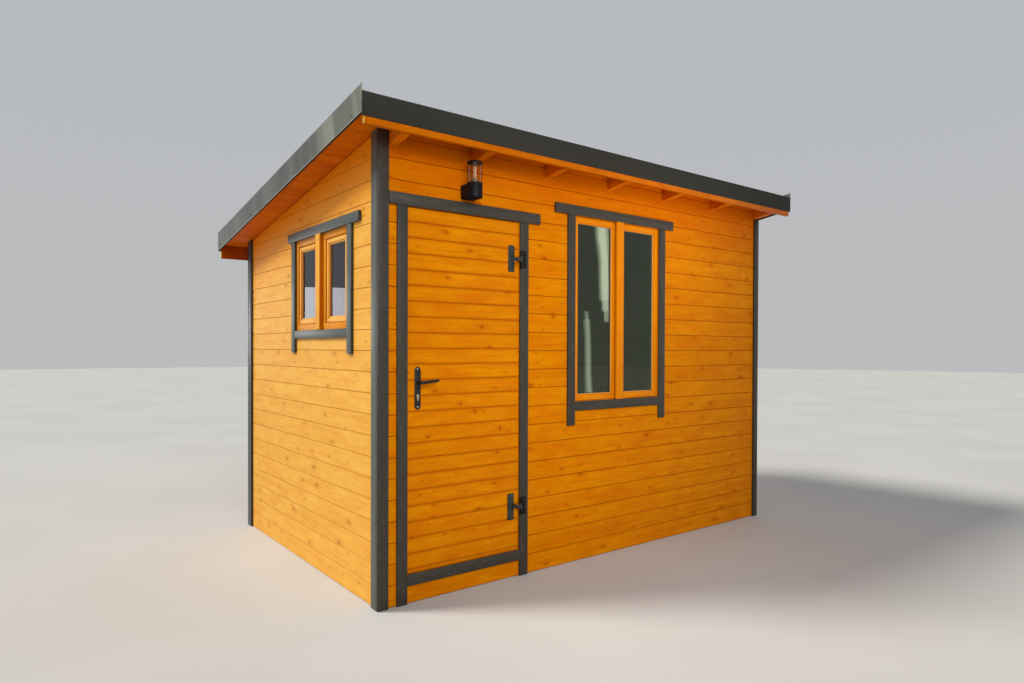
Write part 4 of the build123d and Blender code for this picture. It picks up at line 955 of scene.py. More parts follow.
def edge_sheet(mesh, v_out, sgn, z_low, flange, mat):
    """A folded sheet over the eaves: a face, a hem at its foot and a flange on the membrane. sgn is -1 at the front."""
    t = 1.6
    vi = v_out - sgn * 3.0
    outer = [(v_out, z_low + 6), (v_out - sgn * 0.3, z_low + 1.5), (v_out - sgn * 1.2, z_low), (v_out - sgn * 2.6, z_low + 0.6), (v_out - sgn * 2.9, z_low + 3),
             (v_out - sgn * 2.7, z_low + 12), (v_out - sgn * t, z_low + 12.5)]
    top = soffit(v_out) + up + 3.0
    pts = outer + [(v_out - sgn * t, top - t), (v_out - sgn * (flange), soffit(v_out - sgn * flange) + up), (v_out - sgn * (flange + 3), soffit(v_out - sgn * (flange + 3)) + up + t),
                   (v_out - sgn * 2.2, soffit(v_out - sgn * 2.2) + up + 3.0), (v_out - sgn * 0.6, top - 0.7), (v_out, top - 2.4)]
    mesh.prism([(Y(v), z / 1000) for v, z in pts], "X", -(ROOF_X - 3.2) / 1000, (ROOF_X - 3.2) / 1000, mat)


edge_sheet(lead, -OVER, -1, 2488.0, 60.0, SHEET)
for i in range(8):
    screw_head(lead, (-1.75 + i * 0.5, Y(-OVER) + 0.03, (soffit(-OVER + 30) + up + 3.2) / 1000), roof_normal, SCREW_DARK, 4.5, 1.5)
lead.done(replaces=("front_flashing",))
rear = Mesh("back_edge_sheet", [SHEET])
edge_sheet(rear, 2 * WY + OVER, 1, 2117.0, 60.0, SHEET)
for i in range(8):
    screw_head(rear, (-1.75 + i * 0.5, Y(2 * WY + OVER) - 0.03, (soffit(2 * WY + OVER - 30) + up + 3.2) / 1000), roof_normal, SCREW_DARK, 4.5, 1.5)
rear.done(replaces=("back_flashing",))

verge = Mesh("verge_edge_sheets", [VERGE])
for side in (-1, 1):
    xo = side * ROOF_X / 1000
    def vx(d):
        return xo - side * (d + 1.3) / 1000
    seam = 985.0
    for va, vb, sink in ((-OVER, seam, 0.0), (seam - 60, 2 * WY + OVER, 0.7)):
        # section in (depth from the outer face, height over the soffit line)
        sec = [(0.0 + sink, -29.5), (0.3 + sink, -33.0), (1.3 + sink, -34.0), (14.0, -33.6), (14.0, -32.2), (3.0, -32.2), (2.7, -31.0), (2.5, -22.0), (1.5 + sink, -21.6),
               (1.5 + sink, 66.8), (2.8, 67.8), (60.0, 67.0), (62.0, 68.2), (61.5, 69.3), (3.0, 70.0), (2.6, 72.0), (2.6, 101.0), (2.3, 103.6), (1.2 + sink * 0.5, 105.0), (0.25 + sink, 104.0), (0.0 + sink, 101.5)]
        bmv, co, sdl, ed = verge.new()
        ends = [[bmv.verts.new(Vector((vx(d), Y(v), (soffit(v) + h) / 1000))) for d, h in sec] for v in (va, vb)]
        k = len(sec)
        for i in range(k):
            f = bmv.faces.new((ends[0][i], ends[0][(i + 1) % k], ends[1][(i + 1) % k], ends[1][i]))
        bmv.faces.new(ends[0][::-1])
        bmv.faces.new(ends[1])
        bmesh.ops.recalc_face_normals(bmv, faces=bmv.faces)
        # painted highlight: the hem's outer foot takes a lighter sheet colour; painted shade: the return lip takes the
        # darker edge-sheet colour
        hem_highlight_i, lip_shade_i = verge.index(VERGE_EDGE_PAINTED_HIGHLIGHT), verge.index(SHEET)
        for f in bmv.faces:
            c = f.calc_center_median()
            h = c.z * 1000 - soffit(c.y * 1000 + WY)
            if h < -29.6 and len(f.verts) == 4:
                f.material_index = hem_highlight_i if abs(c.x) > ROOF_X / 1000 - 0.0030 else lip_shade_i
            for lp in f.loops:
                lp[co] = lp.vert.co
        verge.take(bmv)
    # screws along the foot, one each side of the seam
    for v in (-68, 737, 1542, 2300):
        at = Vector((xo, Y(v), (soffit(v) - 5) / 1000))
        screw_head(verge, (at.x - side * 0.0017, at.y, at.z), (side, 0, 0), BLACK_DEEP, 6.0, 1.6)
vo = verge.done(replaces=("verge_flashings",))

foam = Mesh("insulation_sheet", [FOAM])
pts = [(Y(V0), (soffit(V0) + 20.2) / 1000), (Y(V1), (soffit(V1) + 20.2) / 1000), (Y(V1), (soffit(V1) + 60.4) / 1000), (Y(V0), (soffit(V0) + 60.4) / 1000)]
foam.prism(pts, "X", -RX / 1000, RX / 1000, FOAM)
foam.done(replaces=("roof_insulation",))

# ---------------------------------------------------------------------------
# Corner trims
# ---------------------------------------------------------------------------
corner = Mesh("corner_boards_front_back", [TRIM])
for u0, u1, top_fn in ((-TRIM_T, 49.0, soffit), (2 * WX + TRIM_T - 54.0, 2 * WX + TRIM_T, raft)):
    for v0, v1 in ((-TRIM_T, 0.0), (2 * WY, 2 * WY + TRIM_T)):
        cut = UNDER_ROOF if top_fn is soffit else UNDER_RAFTERS
        corner.bar((X(u0), Y(v0), 0), (X(u1), Y(v1), 2.55), "Z", TRIM, 2.2, cuts=[(cut[0][0] - roof_normal * 0.001, roof_normal)])
corner.done(replaces=("corner_trims_front_back",))
corner = Mesh("corner_boards_sides", [TRIM_PAINTED_SUNLIT, TRIM_REAR_PAINTED_SHADE])
for u0, u1 in ((-TRIM_T, 0.0), (2 * WX, 2 * WX + TRIM_T)):
    for v0, v1 in ((0.0, 65.0), (2 * WY - 65, 2 * WY)):
        # the back corner's side board takes the darker painted-shade copy, the front one the painted-sunlit copy
        corner.bar((X(u0), Y(v0), 0), (X(u1), Y(v1), 2.55), "Z", TRIM_REAR_PAINTED_SHADE if v0 > WY else TRIM_PAINTED_SUNLIT, 2.2, cuts=[(UNDER_ROOF[0][0] - roof_normal * 0.001, roof_normal)], face="X")
# faces that look to the front take the darker copy as painted shade
corner.turn(TRIM_PAINTED_SUNLIT, TRIM_SHADE)
corner.turn(TRIM_REAR_PAINTED_SHADE, TRIM_SHADE)
corner.done(replaces=("corner_trims_sides",))

# ---------------------------------------------------------------------------
# Doorway
# ---------------------------------------------------------------------------
du0, du1, dz0, dz1 = DOOR


def mm_bar(mesh, u0, u1, v0, v1, z0, z1, grain, mat, bevel=2.0, **kw):
    mesh.bar((X(u0), Y(v0), z0 / 1000), (X(u1), Y(v1), z1 / 1000), grain, mat, bevel, **kw)


def nail(mesh, u, v, z, mat=SCREW_DARK, out=(0, -1, 0), r=2.6):
    screw_head(mesh, (X(u), Y(v), z / 1000), out, mat, r, 0.5)


trims = Mesh("door_side_boards", [TRIM])
mm_bar(trims, du0 - 61, du0, -TRIM_T, 0, 0, dz1, "Z", TRIM)
mm_bar(trims, du1, du1 + 61, -TRIM_T, 0, 0, dz1, "Z", TRIM)
for u in (du0 - 31, du1 + 31):
    for z in (90, 600, 1120, 1640, 2070):
        nail(trims, u, -TRIM_T, z)
trims.done(replaces=("door_side_trims",))
trims = Mesh("door_head_and_foot_boards", [TRIM])
mm_bar(trims, 50, 1077, -HEAD_T, 0, dz1, dz1 + 64, "X", TRIM)
mm_bar(trims, du0, du1, -TRIM_T, 0, 96, dz0, "X", TRIM)
for u in (90, 400, 720, 1035):
    nail(trims, u, -HEAD_T, dz1 + 32)
for u in (200, 545, 885):
    nail(trims, u, -TRIM_T, 126)
trims.done(replaces=("door_head_and_foot_trims",))

jambs = Mesh("door_lining", [SASH_STAIN])
for s in (0, 1):
    a0, a1 = (hd[0], du0) if s == 0 else (du1, hd[1])
    b0, b1 = (du0 - 1, du0 + 25) if s == 0 else (du1 - 25, du1 + 1)
    mm_bar(jambs, a0, a1, 0, 90, dz0, dz1, "Z", SASH_STAIN, 1.5)
    mm_bar(jambs, b0, b1, 46, 90, dz0, dz1, "Z", SASH_STAIN, 2.0)
    # seal in the corner of the rebate
    g0, g1 = (du0 + 8, du0 + 19) if s == 0 else (du1 - 19, du1 - 8)
    mm_bar(jambs, g0, g1, 43.0, 47.0, dz0 + 4, dz1 - 4, "Z", GASKET, 1.2)
jambs.done(replaces=("door_jambs",))
sill = Mesh("door_head_and_threshold", [SASH_STAIN])
mm_bar(sill, hd[0], hd[1], 0, 90, dz1, dz1 + 30, "X", SASH_STAIN, 1.5)
mm_bar(sill, du0 + 25, du1 - 25, 46, 90, dz1 - 25, dz1 + 1, "X", SASH_STAIN, 1.5)
mm_bar(sill, hd[0], hd[1], 0, 90, hd[2], dz0, "X", SASH_STAIN, 2.5)
sill.done(replaces=("door_head_and_sill",))

# ---------------------------------------------------------------------------
# Door leaf
# ---------------------------------------------------------------------------
LU0, LU1, LZ0, LZ1 = 167.0, 920.0, 162.0, 2123.0
leaf = Mesh("door_leaf_boards", [DOOR_STAIN])
lock_cut = [(Vector((X(LU0), Y(0), 0)), Vector((-40.0, -3.5, 0)).normalized())]
z = 94.0
seeds = [rnd.uniform(0, 9) for _ in range(40)]
i = 0
while z < LZ1:
    r0, r1 = z, z + 85.0
    lo, hi = max(r0, LZ0), min(r1, LZ1)
    if hi - lo > 2:
        pr = door_profile(85.0, lo - r0 if lo > r0 else None, hi - r0 if hi < r1 else None)
        leaf.board(Vector((X(0), Y(0), r0 / 1000)), FX, FZ, -FY, LU0, LU1, pr, DOOR_STAIN, seeds[i], (seeds[i] * 0.4) % 1.0, lock_cut)
        leaf.board(Vector((X(0), Y(40), r0 / 1000)), FX, FZ, FY, LU0, LU1, pr, DOOR_STAIN, seeds[i] + 0.61, (seeds[i] * 0.7) % 1.0, lock_cut)
    z += 85.0
    i += 1
leaf.done(body="door", replaces=("door_leaf",))

# ---------------------------------------------------------------------------
# Hinges
# ---------------------------------------------------------------------------
PU, PV = 922.0, -28.0
HZ = (1905.0, 424.0)


def rounded(cx, cz, w, h, r, n=6):
    pts = []
    for sx, sz, a0 in ((1, 1, 0), (-1, 1, 90), (-1, -1, 180), (1, -1, 270)):
        for i in range(n + 1):
            a = math.radians(a0 + 90 * i / n)
            pts.append((cx + sx * (w / 2 - r) + r * math.cos(a), cz + sz * (h / 2 - r) + r * math.sin(a)))
    return pts


def plate(mesh, pts, v0, v1, mat, bevel=1.0):
    """A flat plate from an outline of (u, z) points, between two depths."""
    mesh.prism([(X(u), z / 1000) for u, z in pts], "Y", Y(v0), Y(v1), mat, bevel=bevel, smooth_sides=True)


straps = Mesh("hinge_leaf_plates", [BLACK_LEAF])
for k, zc in enumerate(HZ):
    plate(straps, rounded(863, zc, 46, 158, (11.0, 5.0)[k]), -4.0, 0.0, BLACK_LEAF, 1.0)
    # the arm is cranked towards the pin, wide at the plate, with a waist
    path = [(878, -2.0, 21), (886, -2.0, 19), (890, -4.5, 14), (894, -11.0, 10), (898, -20.0, 8.6), (903, -27.0, 9.4), (911, -28.0, 14.0), (922, -28.0, 17.0)]
    bm, co, sdl, ed = straps.new()
    rings = []
    for i, (u, v, hh) in enumerate(path):
        p0, p1 = path[max(0, i - 1)], path[min(len(path) - 1, i + 1)]
        t2 = Vector((p1[0] - p0[0], p1[1] - p0[1])).normalized()
        nrm = Vector((-t2.y, t2.x)) * 2.0
        rings.append([bm.verts.new(Vector((X(u + sx * nrm.x), Y(v + sx * nrm.y), (zc + sz * hh) / 1000))) for sx, sz in ((1, 1), (1, -1), (-1, -1), (-1, 1))])
    for a, b in zip(rings, rings[1:]):
        for i in range(4):
            bm.faces.new((a[i], a[(i + 1) % 4], b[(i + 1) % 4], b[i]))
    bm.faces.new(rings[0])
    bm.faces.new(rings[-1][::-1])
    made = bmesh.ops.bevel(bm, geom=list(bm.edges), offset=0.0006, segments=1, profile=0.5, affect="EDGES", clamp_overlap=True)
    bmesh.ops.recalc_face_normals(bm, faces=bm.faces)
    for f in bm.faces:
        for lp in f.loops:
            lp[co] = lp.vert.co
    straps.take(bm)
    straps.lathe((X(PU), Y(PV), (zc - 17) / 1000), (0, 0, 1), [(4.1, 0), (7.2, 0), (8, 0.8), (8, 33.2), (7.2, 34), (4.1, 34)], BLACK_LEAF, 24)
    for dz in (-62, -28, 28, 62):
        screw_head(straps, (X(863 + (5 if dz in (-28, 28) else -3)), Y(-4), (zc + dz) / 1000), (0, -1, 0), SCREW_DARK, 4.2, 1.6)
straps.done(body="door", replaces=("hinge_straps",))

jp = Mesh("hinge_frame_plates", [BLACK_DEEP])
for zc in HZ:
    plate(jp, rounded(946, zc, 40, 102, 5.0), -18.0, -15.0, BLACK_DEEP, 0.8)
    for z0 in (zc - 51, zc + 18):
        jp.lathe((X(PU), Y(PV), z0 / 1000), (0, 0, 1), [(0, 0), (7.2, 0), (8, 0.8), (8, 32.2), (7.2, 33), (0, 33)], BLACK_DEEP, 24)
        jp.prism([(X(922), Y(-35.6)), (X(926), Y(-35.0)), (X(932), Y(-29)), (X(934), Y(-17)), (X(926.5), Y(-17)), (X(924), Y(-24))], "Z", z0 / 1000, (z0 + 33) / 1000, BLACK_DEEP, bevel=0.5)
    jp.lathe((X(PU), Y(PV), (zc - 53) / 1000), (0, 0, 1), [(0, 0), (3, 0), (4, 1), (4, 105), (3, 106), (0, 106)], SCREW_DARK, 20)
    for du, dz in ((3, -38), (12, -14), (12, 14), (3, 38)):
        screw_head(jp, (X(946 + du), Y(-18), (zc + dz) / 1000), (0, -1, 0), SCREW_DARK, 4.0, 1.6)
jp.done(replaces=("hinge_jamb_plates",))

# ---------------------------------------------------------------------------
# Handle
# ---------------------------------------------------------------------------
HU, LZ = 227.5, 1185.0
hp = Mesh("handle_long_plates", [BLACK])


def stadium(cx, cz, w, h, n=10):
    pts = []
    r = w / 2
    for sz, a0 in ((1, 0), (-1, 180)):
        for i in range(n + 1):
            a = math.radians(a0 + 180 * i / n)
            pts.append((cx + r * math.cos(a), cz + sz * (h / 2 - r) + r * math.sin(a)))
    return pts


for v0, v1, face, sg in ((-5.0, 0.0, -5.0, -1), (40.0, 45.0, 45.0, 1)):
    plate(hp, stadium(HU, 1154, 36, 232), v0, v1, BLACK, 1.8)
    hp.lathe((X(HU), Y(face), LZ / 1000), (0, sg, 0), [(13.5, -0.2), (13.5, 0.6), (12.2, 1.6), (9.4, 1.6), (9.3, -0.2)], BLACK, 32)
    for z in (1257, 1052):
        hp.lathe((X(HU), Y(face), z / 1000), (0, sg, 0), [(5.4, -0.2), (5.4, 0.5), (4.4, 1.3), (2.0, 1.7), (1.3, 0.9), (0, 0.9)], SCREW, 20)
hp.done(body="door", replaces=("handle_plates",))

lv = Mesh("handle_lever_pair", [BLACK])


def lever(sg, v_face):
    """A round neck, then a bar that tapers and rises a little to its end."""
    out = sg
    lv.lathe((X(HU), Y(v_face), LZ / 1000), (0, out, 0), [(9, -0.5), (9, 38), (9.8, 42), (10.4, 46), (10.4, 52), (9.2, 55.2), (6, 56), (0, 56)], BLACK, 32)
    bm, co, sdl, ed = lv.new()
    rings = []
    path = [(0, 0, 9.6, 6.4), (14, 0.6, 9.2, 6.4), (30, 2.0, 8.8, 6.3), (50, 4.0, 8.5, 6.1), (70, 6.2, 8.2, 5.9), (86, 8.0, 8.0, 5.8), (98, 9.4, 7.9, 5.7), (104, 10.1, 7.3, 5.4), (107.4, 10.5, 6.0, 4.6), (108.6, 10.6, 3.6, 2.8)]
    steps = 20
    mid_v = v_face + sg * 49.5
    for a, dz, rz, ry in path:
        rings.append([bm.verts.new(Vector((X(HU + a), Y(mid_v + ry * math.sin(2 * math.pi * i / steps)), (LZ + dz + rz * math.cos(2 * math.pi * i / steps)) / 1000))) for i in range(steps)])
    for a, b in zip(rings, rings[1:]):
        for i in range(steps):
            bm.faces.new((a[i], a[(i + 1) % steps], b[(i + 1) % steps], b[i]))
    bm.faces.new(rings[0])
    bm.faces.new(rings[-1][::-1])
    bmesh.ops.recalc_face_normals(bm, faces=bm.faces)
    for f in bm.faces:
        f.smooth = True
        for lp in f.loops:
            lp[co] = lp.vert.co
    lv.take(bm)


lever(-1, 0.0)
lever(1, 40.0)
lv.done(body="lever", replaces=("handle_levers",))

cyl = Mesh("profile_cylinder", [STEEL])
CZ = 1113.0
for v0, sg in ((-5.0, -1), (45.0, 1)):
    pts = []
    for i in range(25):
        a = math.radians(-38 + 256 * i / 24)
        pts.append((HU + 8.0 * math.cos(a), CZ + 8.0 * math.sin(a)))
    for i in range(9):
        a = math.radians(180 + 180 * i / 8)
        pts.append((HU + 3.6 * math.cos(a), CZ - 25 + 3.6 * math.sin(a)))
    a, b = sorted((v0, v0 + sg * 3.0))
    plate(cyl, pts, a, b, STEEL, 0.5)
    cyl.lathe((X(HU), Y(v0 + sg * 3.0), CZ / 1000), (0, sg, 0), [(6.6, -0.1), (6.6, 0.3), (6.0, 0.7), (0, 0.7)], STEEL, 28)
    plate(cyl, [(HU - 0.9, CZ - 4), (HU + 0.9, CZ - 4), (HU + 0.9, CZ + 4.6), (HU - 0.9, CZ + 4.6)], *sorted((v0 + sg * 3.0, v0 + sg * 3.9)), GASKET, 0)
cyl.done(body="door", replaces=("lock_cylinder",))

# ---------------------------------------------------------------------------
# Windows
# ---------------------------------------------------------------------------
SASH_F = 6.0
GLASS_V = 19.0


def window(pre, place, a0, a1, z0, z1, case_a, case_z, post, strip_w, strip_t, sash_gap, bar, grain_h, nodes, hole, stain, glass, strip, beads, shade):
    """A fixed frame, a middle strip, two sashes with panes. place(a, v, z) gives the point for a distance along
    the wall, a depth into it and a height. The bead colour is painted light, and shade, when given, is a painted-shade
    copy for faces that look to the front."""
    def bar3(mesh, p, q, grain, mat, bevel=2.0, **kw):
        A, B = place(*p), place(*q)
        lo = [min(A[i], B[i]) for i in range(3)]
        hi = [max(A[i], B[i]) for i in range(3)]
        mesh.bar(lo, hi, grain, mat, bevel, face="X" if grain_h == "Y" and grain == "Z" else "Y", **kw)

    fr = Mesh(pre + "_window_casing", [stain])
    ha0, ha1, hz0, hz1 = hole
    ia0, ia1, iz0, iz1 = a0 + case_a, a1 - case_a, z0 + case_z, z1 - case_z
    mid = (a0 + a1) / 2
    bar3(fr, (ha0, 0, hz0), (ia0, 74, hz1), "Z", stain, 1.5)
    bar3(fr, (ia1, 0, hz0), (ha1, 74, hz1), "Z", stain, 1.5)
    bar3(fr, (ia0, 0, iz1), (ia1, 74, hz1), grain_h, stain, 1.5)
    bar3(fr, (ia0, 0, hz0), (ia1, 74, iz0), grain_h, stain, 1.5)
    bar3(fr, (mid - post / 2, 0, iz0), (mid + post / 2, 74, iz1), "Z", stain, 1.5)
    bar3(fr, (mid - strip_w / 2, -strip_t, z0), (mid + strip_w / 2, 0, z1), "Z", strip, 5.0, segments=3)
    # inner reveal boards round the opening
    bar3(fr, (ha0, 74, hz0), (ha0 + 15, 90, hz1), "Z", RAW, 1.5)
    bar3(fr, (ha1 - 15, 74, hz0), (ha1, 90, hz1), "Z", RAW, 1.5)
    bar3(fr, (ha0, 74, hz1 - 15), (ha1, 90, hz1), grain_h, RAW, 1.5)
    bar3(fr, (ha0, 74, hz0), (ha1, 90, hz0 + 15), grain_h, RAW, 1.5)
    # faces that look to the front take the darker copy as painted shade
    if shade:
        fr.turn(stain, shade)
        fr.turn(strip, shade)
    fr.done(replaces=(nodes[0],))


    # on the side window the sash bars take the painted-sunlit bead colour
    if shade:
        stain = beads
    sa = Mesh(pre + "_window_sash_bars", [stain])
    gl = Mesh(pre + "_window_panes", [glass])
    for s0, s1 in ((ia0, mid - post / 2), (mid + post / 2, ia1)):
        s0 += sash_gap
        s1 -= sash_gap
        t0, t1 = iz0 + sash_gap, iz1 - sash_gap
        v0, v1 = SASH_F, SASH_F + 44
        # the glass opening, and the bars' own width outside the glazing beads
        g0, g1, h0, h1 = s0 + bar, s1 - bar, t0 + bar, t1 - bar
        bead = 9.0
        wb = bar - bead
        bar3(sa, (s0, v0, t0), (s0 + wb, v1, t1), "Z", stain, 2.5, segments=3)
        bar3(sa, (s1 - wb, v0, t0), (s1, v1, t1), "Z", stain, 2.5, segments=3)
        bar3(sa, (s0 + wb, v0 + 0.3, t1 - wb), (s1 - wb, v1, t1), grain_h, stain, 2.0, segments=3)
        bar3(sa, (s0 + wb, v0 + 0.3, t0), (s1 - wb, v1, t0 + wb), grain_h, stain, 2.0, segments=3)
        for (p, q, gr) in (((g0 - bead - 1, GLASS_V - 8, h0 - 2), (g0, GLASS_V, h1 + 2), "Z"), ((g1, GLASS_V - 8, h0 - 2), (g1 + bead + 1, GLASS_V, h1 + 2), "Z"),
                           ((g0 - 2, GLASS_V - 8, h1), (g1 + 2, GLASS_V, h1 + bead + 1), grain_h), ((g0 - 2, GLASS_V - 8, h0 - bead - 1), (g1 + 2, GLASS_V, h0), grain_h)):
            bar3(sa, p, q, gr, beads, 3.2, segments=3)
        # seal between bead and glass; its light colour is also a painted highlight along the pane edges
        for (p, q, gr) in (((g0 - 1.0, GLASS_V - 1.0, h0), (g0 + 1.8, GLASS_V + 0.5, h1), "Z"), ((g1 - 1.8, GLASS_V - 1.0, h0), (g1 + 1.0, GLASS_V + 0.5, h1), "Z"),
                           ((g0, GLASS_V - 1.0, h1 - 1.8), (g1, GLASS_V + 0.5, h1 + 1.0), grain_h), ((g0, GLASS_V - 1.0, h0 - 1.0), (g1, GLASS_V + 0.5, h0 + 1.8), grain_h)):
            bar3(sa, p, q, gr, PANE_SEAL_PAINTED_HIGHLIGHT, 0.4)
        # pane spacer behind the outer glass
        for (p, q, gr) in (((g0 - 4, GLASS_V + 4, h0 - 4), (g0 + 4.5, GLASS_V + 12, h1 + 4), "Z"), ((g1 - 4.5, GLASS_V + 4, h0 - 4), (g1 + 4, GLASS_V + 12, h1 + 4), "Z"),
                           ((g0, GLASS_V + 4, h1 - 3.5), (g1, GLASS_V + 12, h1 + 4), grain_h), ((g0, GLASS_V + 4, h0 - 4), (g1, GLASS_V + 12, h0 + 3.5), grain_h)):
            bar3(sa, p, q, gr, SPACER, 0.3)
        # inner beads, and the rebate's floor behind the panes
        for (p, q, gr) in (((g0 - bead - 1, GLASS_V, h0 - bead), (g0 - 0.5, v1 - 1, h1 + bead), "Z"), ((g1 + 0.5, GLASS_V, h0 - bead), (g1 + bead + 1, v1 - 1, h1 + bead), "Z"),
                           ((g0 - 1, GLASS_V, h1 + 0.5), (g1 + 1, v1 - 1, h1 + bead + 1), grain_h), ((g0 - 1, GLASS_V, h0 - bead - 1), (g1 + 1, v1 - 1, h0 - 0.5), grain_h)):
            bar3(sa, p, q, gr, stain, 2.0)
        bar3(gl, (g0, GLASS_V, h0), (g1, GLASS_V + 4, h1), grain_h, glass, 0)
    # faces that look to the front take the darker copy as painted shade
    if shade:
        sa.turn(stain, shade)
    else:
        # front window: bead faces that look to the front, down and in go back to the stain, so the painted highlight
        # stays on faces that look left, right and up
        for way in ((0.0, -1.0, 0.0), (0.0, 0.0, -1.0), (0.0, 1.0, 0.0)):
            sa.turn(beads, stain, way)
    sa.done(replaces=(nodes[1],))
    gl.done(replaces=(nodes[2],))


window("front", lambda a, v, z: (X(a), Y(v), z / 1000), *FWIN, 0.0, 1.0, 24.0, 68.0, 22.0, 2.0, 42.0, "X",
       ("front_window_frame", "front_window_sashes", "front_window_glass"), HOLE_FWIN, SASH_STAIN, GLASS, SASH_STAIN, BEAD_PAINTED_HIGHLIGHT, None)
window("side", lambda a, v, z: (X(v), Y(a), z / 1000), *SWIN, 35.0, 40.0, 155.0, 68.0, 22.0, 3.0, 34.0, "Y",
       ("side_window_frame", "side_window_sashes", "side_window_glass"), HOLE_SWIN, SASH_PAINTED_SUNLIT, GLASS_SIDE, STRIP_PAINTED_SUNLIT, BEAD_PAINTED_SUNLIT, SASH_SHADE)

fu0, fu1, fz0, fz1 = FWIN
tr = Mesh("front_window_side_boards", [TRIM])
mm_bar(tr, fu0 - 61, fu0, -TRIM_T, 0, 880, fz1, "Z", TRIM)
mm_bar(tr, fu1, fu1 + 61, -TRIM_T, 0, 880, fz1, "Z", TRIM)
for u in (fu0 - 30, fu1 + 30):
    for z in (930, 1360, 1790, 2170):
        nail(tr, u, -TRIM_T, z)
tr.done(replaces=("front_window_side_trims",))
tr = Mesh("front_window_head_and_foot_boards", [TRIM])
mm_bar(tr, 1203, 2331, -HEAD_T, 0, fz1, fz1 + 61, "X", TRIM)
mm_bar(tr, fu0, fu1, -TRIM_T, 0, fz0 - 59, fz0, "X", TRIM)
for u in (1240, 1580, 1940, 2290):
    nail(tr, u, -HEAD_T, fz1 + 30)
for u in (1415, 1780, 2145):
    nail(tr, u, -TRIM_T, fz0 - 30)
tr.done(replaces=("front_window_head_and_foot_trims",))

sv0, sv1, sz0, sz1 = SWIN
tr = Mesh("side_window_side_boards", [TRIM_PAINTED_SUNLIT])
tr.bar((X(-TRIM_T), Y(sv0 - 60), 1.337), (X(0), Y(sv0), sz1 / 1000), "Z", TRIM_PAINTED_SUNLIT, 2.0, face="X")
tr.bar((X(-TRIM_T), Y(sv1), 1.337), (X(0), Y(sv1 + 60), sz1 / 1000), "Z", TRIM_PAINTED_SUNLIT, 2.0, face="X")
for v in (sv0 - 30, sv1 + 30):
    for z in (1380, 1700, 2020):
        screw_head(tr, (X(-TRIM_T), Y(v), z / 1000), (-1, 0, 0), SCREW_DARK, 2.6, 0.5)
# faces that look to the front take the darker copy as painted shade
tr.turn(TRIM_PAINTED_SUNLIT, TRIM_SHADE)
tr.done(replaces=("side_window_side_trims",))
tr = Mesh("side_window_head_and_foot_boards", [TRIM_PAINTED_SUNLIT])
tr.bar((X(-HEAD_T), Y(214), sz1 / 1000), (X(0), Y(1308), (sz1 + 57) / 1000), "Y", TRIM_PAINTED_SUNLIT, 2.0)
tr.bar((X(-TRIM_T), Y(sv0), (sz0 - 51) / 1000), (X(0), Y(sv1), sz0 / 1000), "Y", TRIM_PAINTED_SUNLIT, 2.0)
for v in (260, 600, 920, 1262):
    screw_head(tr, (X(-HEAD_T), Y(v), (sz1 + 28) / 1000), (-1, 0, 0), SCREW_DARK, 2.6, 0.5)
for v in (420, 780, 1140):
    screw_head(tr, (X(-TRIM_T), Y(v), (sz0 - 25) / 1000), (-1, 0, 0), SCREW_DARK, 2.6, 0.5)
# faces that look to the front take the darker copy as painted shade
tr.turn(TRIM_PAINTED_SUNLIT, TRIM_SHADE)
tr.done(replaces=("side_window_head_and_foot_trims",))

# ---------------------------------------------------------------------------
# Lamp
# ---------------------------------------------------------------------------
LU, LV = 545.0, -80.0
L0, L1, L2, L3 = 2209.0, 2291.0, 2399.0, 2410.0


def lamp_at(z):
    return (X(LU), Y(LV), z / 1000)


hb = L1 - L0
lb = Mesh("lamp_housing", [BLACK_LAMP])
lb.lathe(lamp_at(L0), (0, 0, 1), [(0, 3), (34, 3), (35, 0.6), (37, 0), (41.6, 0), (43, 1.4), (43, hb - 14), (42.6, hb - 13), (42.6, hb - 11.6), (43, hb - 10.6), (43, hb - 1.4), (41.6, hb), (39.0, hb), (38.6, hb - 1), (0, hb - 1)], BLACK_LAMP, 64)
lb.bar((X(LU - 43), Y(LV + 4), (L0 + 0.5) / 1000), (X(LU + 43), Y(0), 2.286), "X", BLACK_LAMP, 2.5, segments=3)
lb.bar((X(LU - 41), Y(-6), (L0 + 2.5) / 1000), (X(LU + 41), Y(0), 2.284), "X", BLACK_LAMP, 1.0)
for s_ in (-1, 1):
    screw_head(lb, (X(LU + s_ * 42.9), Y(-18), 2.246), (s_, 0, 0), SCREW, 2.6, 0.8)
lb.done(replaces=("lamp_body",))
lg = Mesh("lamp_clear_cylinder", [LAMP_GLASS])
lg.lathe(lamp_at(L1), (0, 0, 1), [(42, 0), (42, L2 - L1), (41, L2 - L1), (41, 0), (42, 0)], LAMP_GLASS, 64)
lg.done(replaces=("lamp_glass",))
ll = Mesh("lamp_lid_and_rods", [BLACK_LAMP])
ll.lathe(lamp_at(L2), (0, 0, 1), [(0, 0), (38, 0), (41.6, 0), (43, 1.2), (43, 8.6), (42, 10.4), (39, 11), (0, 11)], BLACK_LAMP, 64)
for i in range(4):
    a = math.radians(45 + 90 * i)
    ll.lathe((X(LU + 33 * math.cos(a)), Y(LV + 33 * math.sin(a)), (L1 - 0.5) / 1000), (0, 0, 1), [(0, 0), (1.2, 0), (1.2, L2 - L1 + 1), (0, L2 - L1 + 1)], SCREW, 12)
ll.done(replaces=("lamp_lid",))
lt = Mesh("lamp_light_tube", [TUBE])
lt.lathe(lamp_at(L1), (0, 0, 1), [(0, -1), (21, -1), (21, 20), (19.6, 22), (8, 22), (8, 26)], SOCKET, 40)
lt.lathe(lamp_at(L1 + 14), (0, 0, 1), [(8.0, 0), (8.0, 68), (7.4, 72), (5.4, 75), (2.6, 76), (0, 76)], TUBE, 40)
lt.done(replaces=("lamp_tube",))

